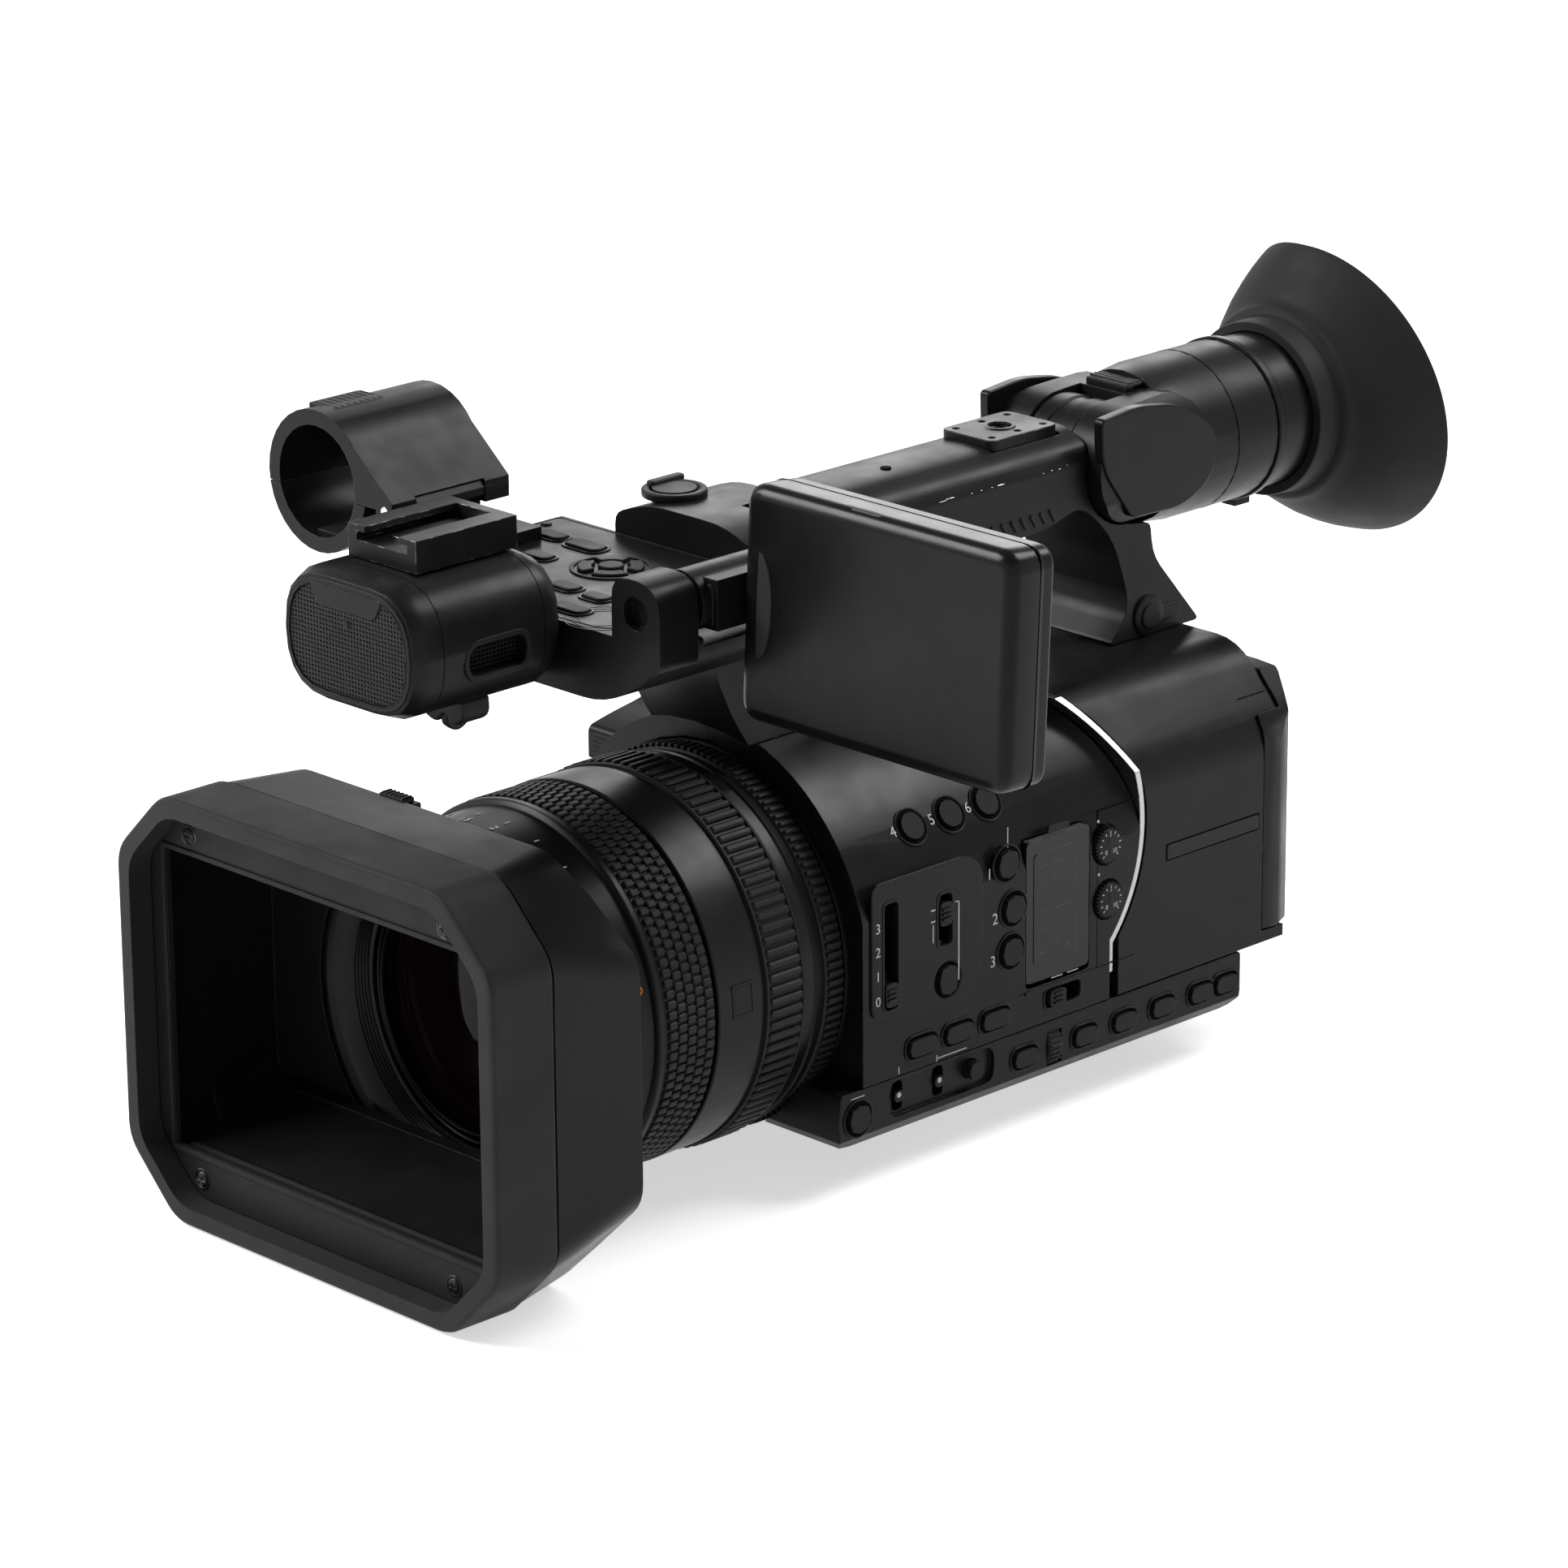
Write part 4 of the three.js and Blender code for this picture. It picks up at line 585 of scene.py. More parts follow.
def peg(name: str, axis: Axis, middle: Point, radius: float, low: float, high: float, bevel: float = 0.3,
        count: int = 28) -> Piece:
    """A round plate about an axis, with its rims eased."""
    return plate(name, axis, [circle(middle, radius, count)], low, high, bevel)


def hoop(name: str, axis: Axis, middle: Point, outer: float, inner: float, low: float, high: float,
         bevel: float = 0.2) -> Piece:
    """A flat ring about an axis, with its rims eased."""
    return plate(name, axis, [circle(middle, outer), circle(middle, inner)], low, high, bevel)


def round_about(piece: Piece, centre: Place, axis: Axis, count: int) -> Piece:
    """Repeats a piece evenly all the way round an axis through a point in millimetres."""
    with opened(piece):
        bpy.ops.mesh.spin(steps=count - 1, dupli=True, angle=FULL_TURN * (count - 1) / count,
                          center=Vector(centre) * MM, axis=axis.vector)
    return piece


def copies(piece: Piece, step: Place, count: int) -> Piece:
    """A row of a piece and its copies as one mesh, each a step in millimetres from the last."""
    return spread(piece, [tuple(i * part for part in step) for i in range(1, count)])


def spread(piece: Piece, moves: list[Place]) -> Piece:
    """A piece and its copies as one mesh, each moved from it by some millimetres."""
    made = [piece]
    for move in moves:
        twin = piece.copy()
        twin.data = piece.data.copy()
        twin.data.transform(Matrix.Translation(Vector(move) * MM))
        made.append(linked(twin))
    return join(made)


def join(pieces: list[Piece]) -> Piece:
    """Joins pieces into the first one."""
    first = pick(*pieces)
    if len(pieces) > 1:
        bpy.ops.object.join()
    return first


def turned(piece: Piece, axis: Axis, degrees: float, centre: Place) -> Piece:
    """Turns a piece's mesh about an axis through a point in millimetres."""
    at = Matrix.Translation(Vector(centre) * MM)
    piece.data.transform(at @ Matrix.Rotation(math.radians(degrees), 4, axis.vector) @ at.inverted())
    return piece


def placed(piece: Piece, spot: Vector, degrees: float, axis: Axis = Axis.Y) -> Piece:
    """Turns a piece made at the origin and moves it to its spot in millimetres."""
    turn = Matrix.Rotation(math.radians(degrees), 4, axis.name)
    piece.data.transform(Matrix.Translation(spot * MM) @ turn)
    return piece


def numeral(text: str, size: float, spot: Place, right: Vector, up: Vector, proud: float = 0.05) -> Piece:
    """A plain number laid on a surface.

    Args:
        text: the figures.
        size: height of the letters' body in millimetres.
        spot: the middle of the number, on the surface, in millimetres.
        right: the direction of reading.
        up: the direction of the figures' tops.
        proud: how far it stands off the surface.

    Returns:
        The number as a mesh.
    """
    deselect()
    bpy.ops.object.text_add()
    words = bpy.context.object.data
    words.body = text
    words.size = size * MM
    words.resolution_u = 3
    words.align_x = words.align_y = "CENTER"
    words.extrude = proud / 2 * MM
    bpy.ops.object.convert(target="MESH")
    across = right.normalized()
    rise = (up - across * up.dot(across)).normalized()
    grid = Matrix((across, rise, across.cross(rise))).transposed().to_4x4()
    bpy.context.object.data.transform(Matrix.Translation((Vector(spot)) * MM) @ grid)
    return bpy.context.object


def box_of(node: str) -> tuple[Vector, Vector]:
    """The two corners of a CAD node, in millimetres."""
    low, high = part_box(node)
    return low / MM, high / MM


def cad_copy(node: str, angle: float) -> Piece:
    """A merged copy of a CAD node's mesh, smooth up to an angle in degrees."""
    piece = linked(bpy.data.objects.new(node, frame["nodes"][node].data.copy()))
    pick(piece)
    if piece.data.has_custom_normals:
        bpy.ops.mesh.customdata_custom_splitnormals_clear()
    with opened(piece):
        bpy.ops.mesh.remove_doubles(threshold=CAD_WELD)
        bpy.ops.mesh.dissolve_limited(angle_limit=math.radians(FLAT_ANGLE))
    return smooth(piece, angle)


# ---------- sub-assemblies ----------
BODIES: dict[str, list[str]] = {
    name: list(nodes) for name, nodes in frame["record"]["behaviour"]["bodies"].items()
}
AXIS_Z = 45.5
LEFT = 56.0
RIGHTWARD = Vector((0, 1, 0))
UPWARD = Vector((0, 0, 1))


@dataclass
class Assembly:
    """A named group of pieces of the camcorder and what every group can do."""

    name: str = "assembly"
    made: list[str] = field(default_factory=list)

    def dress(self, piece: Piece, name: str, finish: Finish, body: str = "camera", stands_for: str = "",
              slot: str = "") -> None:
        """Names a piece, gives it its finish and puts it on its body.

        Args:
            piece: the finished mesh.
            name: the piece's name.
            finish: its finish.
            body: the CAD body that it moves with.
            stands_for: the CAD node that it replaces, if it replaces one.
            slot: not used.
        """
        piece.name = name
        piece.data.name = name
        piece.data.materials.clear()
        piece.data.materials.append(finish.material())
        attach(piece, body)
        if stands_for:
            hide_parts(stands_for)
        self.made.append(name)
        log.info("%s: %s in %s", self.name, name, finish.name)

    def keep(self, finish: Finish, *nodes: str) -> None:
        """Gives CAD nodes whose shape is right their finish."""
        for node in nodes:
            mesh = frame["nodes"][node].data
            mesh.materials.clear()
            mesh.materials.append(finish.material())
            log.info("%s: %s kept in %s", self.name, node, finish.name)

    def smoothed(self, finish: Finish, angle: float, *nodes: str) -> None:
        """Puts smooth copies of curved CAD nodes in their place.

        Args:
            finish: their finish.
            angle: sharpest turn in degrees that is shaded smooth.
            nodes: the CAD nodes.
        """
        for node in nodes:
            body = next(name for name, inside in BODIES.items() if node in inside)
            self.dress(cad_copy(node, angle), f"{node}_shell", finish, body, node)


@dataclass
class Hood(Assembly):
    """The lens hood: rubber band, shell, mask with its screws, shutter blades and release lever."""

    name: str = "hood"
    mask_face: float = -190.0
    screws: tuple[Point, ...] = ((-50.3, 91.6), (46.2, 91.2), (-50.0, -0.8), (46.3, -1.6))
    lever: Place = (-11.0, -154.6, 102.4)

    def build(self) -> None:
        """Makes and dresses the whole hood."""
        self.smoothed(BAND, 40, "hood_band")
        self.smoothed(HOOD, 40, "hood_shell")
        self.keep(MASK, "hood_mask")
        self.keep(BLADE, "shutter_upper", "shutter_lower")
        self.dress(self.screw_set(), "hood_screws", BLACK_METAL)
        self.dress(self.window_frame(), "hood_window_frame", MASK)
        self.dress(self.release(), "hood_release", MATT)
        for side, blade in ((1, "upper"), (-1, "lower")):
            self.dress(self.blade_rib(side, f"shutter_{blade}"), f"shutter_rib_{blade}", BLADE,
                       f"shutter_{blade}_body")

    def screw_set(self) -> Piece:
        """Four cross-head screws with domed heads, each cut with its cross."""
        x, z = self.screws[0]
        face = self.mask_face
        dome = [(0, face - 0.7), (1.2, face - 0.62), (1.9, face - 0.3), (2.1, face + 0.2), (0, face + 0.2)]
        head = lathe("screw", dome, (x, z), 24, closed=False)
        for wide, high in ((1.3, 0.28), (0.28, 1.3)):
            bar = block("slot", (x - wide, face - 0.9, z - high), (x + wide, face - 0.2, z + high), 0.05, 1)
            modify(head, "BOOLEAN", operation="DIFFERENCE", object=bar, solver="EXACT")
            bpy.data.objects.remove(bar)
        ring = hoop("rim", Axis.Y, (x, z), 2.9, 2.3, face - 0.18, face + 0.1, 0.06)
        return spread(join([head, ring]), [(a - x, 0, b - z) for a, b in self.screws[1:]])

    def window_frame(self) -> Piece:
        """A thin raised lip round the window of the mask."""
        low, high = box_of("hood_mask")
        loops = framed(around(0, (low.z + high.z) / 2, 61.6, 41.6), 1.4, 1.4, 0.6)
        return plate("frame", Axis.Y, loops, self.mask_face - 0.5, self.mask_face + 0.1, 0.15)

    def release(self) -> Piece:
        """The ribbed lever at the back of the hood's top."""
        x, y, z = self.lever
        foot = block("foot", (x - 6, y - 3.4, z - 2.5), (x + 6, y + 2.6, z - 0.4), 0.5)
        grip = block("grip", (x - 4.6, y - 2.4, z - 0.6), (x + 4.6, y + 1.6, z + 1.0), 0.5)
        ridge = block("ridge", (x - 4.0, y - 2.0, z + 0.9), (x - 3.4, y + 1.2, z + 1.25), 0.12, 1)
        return join([foot, grip, copies(ridge, (1.5, 0, 0), 6)])

    def blade_rib(self, side: int, node: str) -> Piece:
        """Stiffening lip along the free edge of a shutter blade."""
        low, high = box_of(node)
        edge = low.z if side > 0 else high.z
        bottom, top = sorted((edge, edge + side * 0.9))
        return block("rib", (low.x + 2, high.y - 4.4, bottom), (high.x - 2, high.y - 3.2, top), 0.2)


@dataclass
class Lens(Assembly):
    """The barrel with its three rings and the glass. Each ring has its radius, front and rear."""

    name: str = "lens"
    middle: Point = (0.0, AXIS_Z)
    centre: Place = (0.0, 0.0, AXIS_Z)
    barrel: float = 47.6
    focus: Place = (50.8, -121.5, -104.0)
    zoom: Place = (51.8, -87.3, -73.7)
    iris: Place = (51.5, -66.0, -59.5)
    focus_rows: int = 5
    focus_blocks: int = 116
    zoom_ribs: int = 100
    iris_teeth: int = 132
    scale: tuple[str, ...] = ("0.8", "1", "1.5", "2", "3", "5", "10", "20")
    scale_start: float = -34
    scale_step: float = 13

    def build(self) -> None:
        """Makes and dresses the whole lens."""
        self.dress(self.tube(), "barrel_tube", SATIN, stands_for="lens_barrel")
        for ring, piece in (("focus", self.focus_ring()), ("zoom", self.zoom_ring()),
                            ("iris", self.iris_ring())):
            self.dress(piece, f"{ring}_grip", RUBBER, f"{ring}_ring_body", f"{ring}_ring")
        self.dress(self.front_glass(), "front_glass", GLASS, stands_for="front_element")
        self.dress(self.inner_cells(), "inner_cells", SATIN)
        self.dress(self.badge_place(), "band_plate", MATT, slot="barrel")
        self.dress(self.scale_figures(), "distance_scale", WHITE, slot="barrel")
        self.dress(self.index_mark(), "index_ring_mark", AMBER)
        self.keep(STEEL, "zoom_lens_cell", "sensor_block")

    def tube(self) -> Piece:
        """The fixed barrel: neck, bands between the rings and the bore, threaded at its mouth."""
        (_, f0, f1), (_, z0, z1), (_, i0, i1) = self.focus, self.zoom, self.iris
        thread = [(39.3 + 0.5 * (i % 2), -146.5 + 0.55 * i) for i in range(12)]
        outer = [(46.4, -150.6), (46.6, -150.4), (46.6, -148.5), (47.0, -147.9), (47.2, -142), (47.9, -141.4),
                 (48.9, -125.4), (49.1, -124.6), (50.1, -124.0), (50.5, -123.4), (50.5, f0 - 0.4),
                 (50.2, f0 - 0.2), (self.barrel, f0 - 0.2), (self.barrel, f1 + 0.2), (50.7, f1 + 0.2),
                 (51.0, f1 + 0.6), (51.0, -103), (50.8, z0 - 1.6), (50.4, z0 - 1.4), (50.4, z0 - 0.3),
                 (self.barrel, z0 - 0.3), (self.barrel, z1 + 0.3), (50.4, z1 + 0.3), (50.6, z1 + 0.8),
                 (50.4, -69.6), (50.9, -69.2), (50.2, i0 - 0.3), (self.barrel, i0 - 0.3),
                 (self.barrel, i1 + 0.3), (51.0, i1 + 0.3), (51.2, i1 + 0.8), (51.2, -54.1), (24, -54.1),
                 (24, -57), (44, -57), (44, -130.6), (36, -130.6), (36, -134.2), (39.2, -134.2),
                 (39.3, -139.7)]
        mouth = [(39.3, -146.6), (41.5, -148.6), (43.8, -149.2), (44.6, -149.6), (45.4, -150.6)]
        return lathe("tube", outer + thread[::-1] + mouth, self.middle, 128)

    def sleeve(self, ring: Place, drop: float) -> Piece:
        """The plain sleeve under a ring's ribs, this far below their tops."""
        outer, front, rear = ring
        bore, skin = self.barrel + 0.4, outer - drop
        return lathe("sleeve", [(bore, front), (skin - 0.4, front), (skin, front + 0.4), (skin, rear - 0.4),
                                (skin - 0.4, rear), (bore, rear)], self.middle, 128)

    def teeth(self, ring: Place, ends: Point, count: int, width: float, deep: float, ease: float) -> Piece:
        """Ribs all round a ring.

        Args:
            ring: the ring's radius, front and rear.
            ends: where the ribs start and end along the axis.
            count: how many there are.
            width: how wide each is.
            deep: how far they stand out of the sleeve.
            ease: how far their edges are rounded.

        Returns:
            The ribs as one mesh.
        """
        low, high = ends
        top = AXIS_Z + ring[0]
        tooth = block("tooth", (-width / 2, low, top - deep - 0.5), (width / 2, high, top - 0.02), ease, 1)
        return round_about(tooth, self.centre, Axis.Y, count)

    def focus_ring(self) -> Piece:
        """Rows of rubber blocks, each row set half a block round from the last."""
        outer, front, rear = self.focus
        pitch = (rear - front - 1.6) / self.focus_rows
        width = FULL_TURN * outer / self.focus_blocks - 0.75
        rows = [self.sleeve(self.focus, 0.95)]
        for row in range(self.focus_rows):
            low = front + 0.8 + row * pitch
            blocks = self.teeth(self.focus, (low + 0.14, low + pitch - 0.14), self.focus_blocks, width, 0.9,
                                0.3)
            rows.append(turned(blocks, Axis.Y, 180 / self.focus_blocks * (row % 2), self.centre))
        return join(rows)

    def zoom_ring(self) -> Piece:
        """Long ribs with round backs, set close, between two plain rims."""
        outer, front, rear = self.zoom
        width = FULL_TURN * outer / self.zoom_ribs - 1.15
        ribs = self.teeth(self.zoom, (front + 1.1, rear - 1.1), self.zoom_ribs, width, 1.1, 0.55)
        rim = [(50.6, front), (outer - 0.7, front), (outer - 0.4, front + 0.3), (outer - 0.5, front + 0.9),
               (50.6, front + 1.2)]
        back = [(50.6, rear), (50.6, rear - 1.2), (outer - 0.5, rear - 0.9), (outer - 0.4, rear - 0.3),
                (outer - 0.7, rear)]
        rims = [lathe("rim", profile, self.middle, 128) for profile in (rim, back)]
        return join([self.sleeve(self.zoom, 1.2), ribs, *rims])

    def iris_ring(self) -> Piece:
        """Fine square teeth all round."""
        _, front, rear = self.iris
        sleeve = self.sleeve(self.iris, 0.95)
        return join([sleeve,
                     self.teeth(self.iris, (front + 0.7, rear - 0.7), self.iris_teeth, 1.35, 0.9, 0.2)])

    def front_glass(self) -> Piece:
        """The domed front element."""
        back, radius, dome, steps = -134.6, 38.9, 6, 14
        turns = [math.pi / 2 * (1 - i / steps) for i in range(steps + 1)]
        face = [(radius * math.sin(t), back - 3 - dome * (1 - math.sin(t) ** 2)) for t in turns]
        return lathe("glass", [(0, back), (radius, back), *face], self.middle, 96, closed=False)

    def inner_cells(self) -> Piece:
        """The stepped retaining rings round the glass."""
        cells = ((38.9, -141.6, 1.6), (36.2, -140.9, 0.6), (33.4, -142.2, 0.5))
        return join([lathe("cell", [(radius, y), (radius, y - 0.7), (radius - wide * 0.4, y - 1.0),
                                    (radius - wide, y - 0.6), (radius - wide, y)], self.middle, 96)
                     for radius, y, wide in cells])

    def spot(self, radius: float, degrees: float, y: float) -> Vector:
        """A spot on the barrel.

        Args:
            radius: distance from the lens axis.
            degrees: turn from straight up, towards the operator's left.
            y: place along the axis.

        Returns:
            The spot in millimetres.
        """
        turn = math.radians(degrees)
        return Vector((0, y, AXIS_Z)) + Vector((math.sin(turn), 0, math.cos(turn))) * radius

    def badge_place(self) -> Piece:
        """A bare, framed plate let into the band between the rings."""
        rim = plate("plate", Axis.X, framed((-3.7, 3.7, -4.4, 4.4), 0.7, 0.5, 0.3), -0.3, 0.12, 0.05)
        bare = plate("bare", Axis.X, [rect(-2.9, 2.9, -3.6, 3.6, 0.3)], -0.3, 0.02, 0.04)
        return placed(join([rim, bare]), self.spot(50.95, 86, -95.4), 86 - 90)

    def scale_figures(self) -> Piece:
        """Plain distance figures round the neck, read from the operator's side, each with its tick."""
        made = []
        for i, text in enumerate(self.scale):
            degrees = self.scale_start + self.scale_step * i
            turn = math.radians(degrees)
            across = Vector((math.cos(turn), 0, -math.sin(turn)))
            made.append(numeral(text, 3.6, self.spot(48.3, degrees, -136.4), across, RIGHTWARD, 0.06))
            tick = block("tick", (-0.2, -0.8, -0.06), (0.2, 0.8, 0.06), 0.02, 1)
            made.append(placed(tick, self.spot(48.55, degrees, -131.8), degrees))
        return join(made)

    def index_mark(self) -> Piece:
        """A small orange ring that the scale is read against."""
        mark = hoop("mark", Axis.Z, (0, 0), 1.25, 0.75, -0.05, 0.05, 0.02)
        return placed(mark, self.spot(48.85, 74, -127.6), 74)


@dataclass
class Body(Assembly):
    """The covers, base tray, card door, battery and bright trim.

    The arc is the curved joint between the covers. Flank, roof and shoulder are the planes that
    the trim stops at. The name plate is left blank.
    """

    name: str = "body"
    arc_middle: Point = (1.0, 63.0)
    arc_radius: float = 45.0
    joint_low: float = 33.0
    trim: float = 2.15
    trim_foot: float = 23.5
    trim_gap: float = 0.35
    flank: float = 55.7
    roof: float = 96.7
    shoulder_height: float = 77.3
    shoulder_facing: Point = (0.7433, 0.669)
    name_plate: Span = (56.2, 93.6, 49.4, 54.3)

    def build(self) -> None:
        """Makes and dresses the covers and what is let into them."""
        self.smoothed(SIDE, 28, "left_cover")
        self.smoothed(SHELL, 28, "right_cover", "rear_cover", "base_tray")
        self.smoothed(SHELL, 40, "card_door")
        self.smoothed(MATT, 28, "battery")
        self.keep(STEEL, "tripod_plate")
        self.keep(BOARD, "main_board")
        self.smoothed(SHELL, 24, "shoulder_cover")
        self.dress(self.trim_strip(), "trim_strip", CHROME)
        self.dress(self.seams(), "cover_seams", PAINTED_SHADE)
        self.dress(self.shoulder_ribs(), "shoulder_ribs", RUBBER)
        self.dress(self.rear_fittings(), "rear_fittings", MATT)
        self.dress(self.battery_marks(), "battery_ribs", MATT, "battery_body")
        self.dress(self.vents(), "right_vents", PAINTED_SHADE)
        y0, y1, z0, z1 = self.name_plate
        frame_loops = framed(self.name_plate, 0.5, 0.6, 0.3)
        bare = [rect(y0 + 0.5, y1 - 0.5, z0 + 0.5, z1 - 0.5, 0.6)]
        # The recess round the name plate is a near-black frame of painted shade, standing in for the shade in
        # the joint.
        for name, loops, proud, finish in (("plate_recess", frame_loops, 0.04, PAINTED_SHADE),
                                           ("blank_plate", bare, 0.16, GLOSS)):
            self.dress(plate("layer", Axis.X, loops, LEFT - 0.3, LEFT + proud, 0.01), name, finish)

    def trim_strip(self) -> Piece:
        """The bright strip that follows the curved joint, across both sides and the top."""
        y, z = self.arc_middle
        inner, outer = self.arc_radius + self.trim_gap, self.arc_radius + self.trim
        low = -math.asin((z - self.joint_low) / self.arc_radius)
        turns = [low + (math.pi / 2 - low) * i / 60 for i in range(61)]
        loop = [(y + outer * math.cos(t), z + outer * math.sin(t)) for t in turns]
        loop += [(y + inner * math.cos(t), z + inner * math.sin(t)) for t in reversed(turns)]
        loop += [(y + radius * math.cos(low), self.trim_foot) for radius in (inner, outer)]
        strip = plate("strip", Axis.X, [loop], -self.flank, self.flank, 0.25)
        out, up = self.shoulder_facing
        cuts = [((0, 0, self.roof), UPWARD)]
        cuts += [((side * self.flank, 0, self.shoulder_height), (side * out, 0, up)) for side in (1, -1)]
        with opened(strip):
            for place, facing in cuts:
                bpy.ops.mesh.select_all(action="SELECT")
                bpy.ops.mesh.bisect(plane_co=Vector(place) * MM, plane_no=facing, clear_outer=True,
                                    use_fill=True)
        return smooth(strip)

    def seams(self) -> Piece:
        """Dark shadow lines where covers meet and along the card door."""
        skin = LEFT + 0.03
        lines = [
            ((LEFT - 0.3, 84, 88.2), (skin, 94.9, 88.5)), ((20, 103.6, 19.4), (50, 104.05, 19.7)),
            ((LEFT - 0.4, -0.5, 26.2), (skin, 44, 26.45)), ((LEFT - 0.4, 29.4, 26.4), (skin, 29.65, 70.2)),
            ((LEFT - 0.4, 29.4, 70), (skin, 45.5, 70.25)), ((-16.2, 103.7, 97.1), (16.2, 103.9, 97.35)),
        ]
        return join([block("seam", low, high, 0.02, 1) for low, high in lines])

    def shoulder_ribs(self) -> Piece:
        """Grip ribs on the front end of the shoulder cover."""
        low, high = box_of("shoulder_cover")
        rib = block("rib", (low.x + 1.5, low.y - 0.35, low.z + 1.6), (high.x - 1.5, low.y + 0.8, low.z + 2.3),
                    0.2)
        return copies(rib, (0, 0, 1.35), 5)

    def rear_fittings(self) -> Piece:
        """Two rubber caps with their finger lips, and a key in its rim, beside the battery."""
        back = box_of("rear_cover")[1].y
        made = []
        for foot, head, lip in ((26, 44, 41.0), (48, 66, 63.0)):
            made.append(plate("cap", Axis.Y, [rect(-52, -39, foot, head, 2.2)], back - 0.6, back + 0.9, 0.3))
            made.append(plate("lip", Axis.Y, [rect(-48.5, -42.5, lip, lip + 1.6, 0.5)], back + 0.8,
                              back + 1.5, 0.15))
        made.append(peg("key", Axis.Y, (-46, 76), 2.6, back - 0.4, back + 0.9, 0.25))
        made.append(hoop("rim", Axis.Y, (-46, 76), 3.9, 3.0, back - 0.3, back + 0.4, 0.1))
        return join(made)

    def battery_marks(self) -> Piece:
        """Grip ribs and a plain label frame on the back of the battery."""
        low, high = box_of("battery")
        middle = (low.x + high.x) / 2
        rib = block("rib", (middle - 13, high.y - 0.3, high.z - 14),
                    (middle + 13, high.y + 0.45, high.z - 13.1), 0.2)
        ribs = copies(rib, (0, 0, 2.0), 5)
        label = framed((low.x + 4, high.x - 4, low.z + 8, high.z - 20), 0.6, 2, 1.6)
        return join([ribs, plate("line", Axis.Y, label, high.y - 0.2, high.y + 0.18, 0.05)])

    def vents(self) -> Piece:
        """Cooling slots low in the right side, behind the grip, drawn as flat near-black bars: painted shade
        standing in for the shade inside the slots.
        """
        return copies(block("vent", (-56.05, 70, 26), (-55.6, 71.6, 52), 0.1, 1), (0, 3.4, 0), 8)


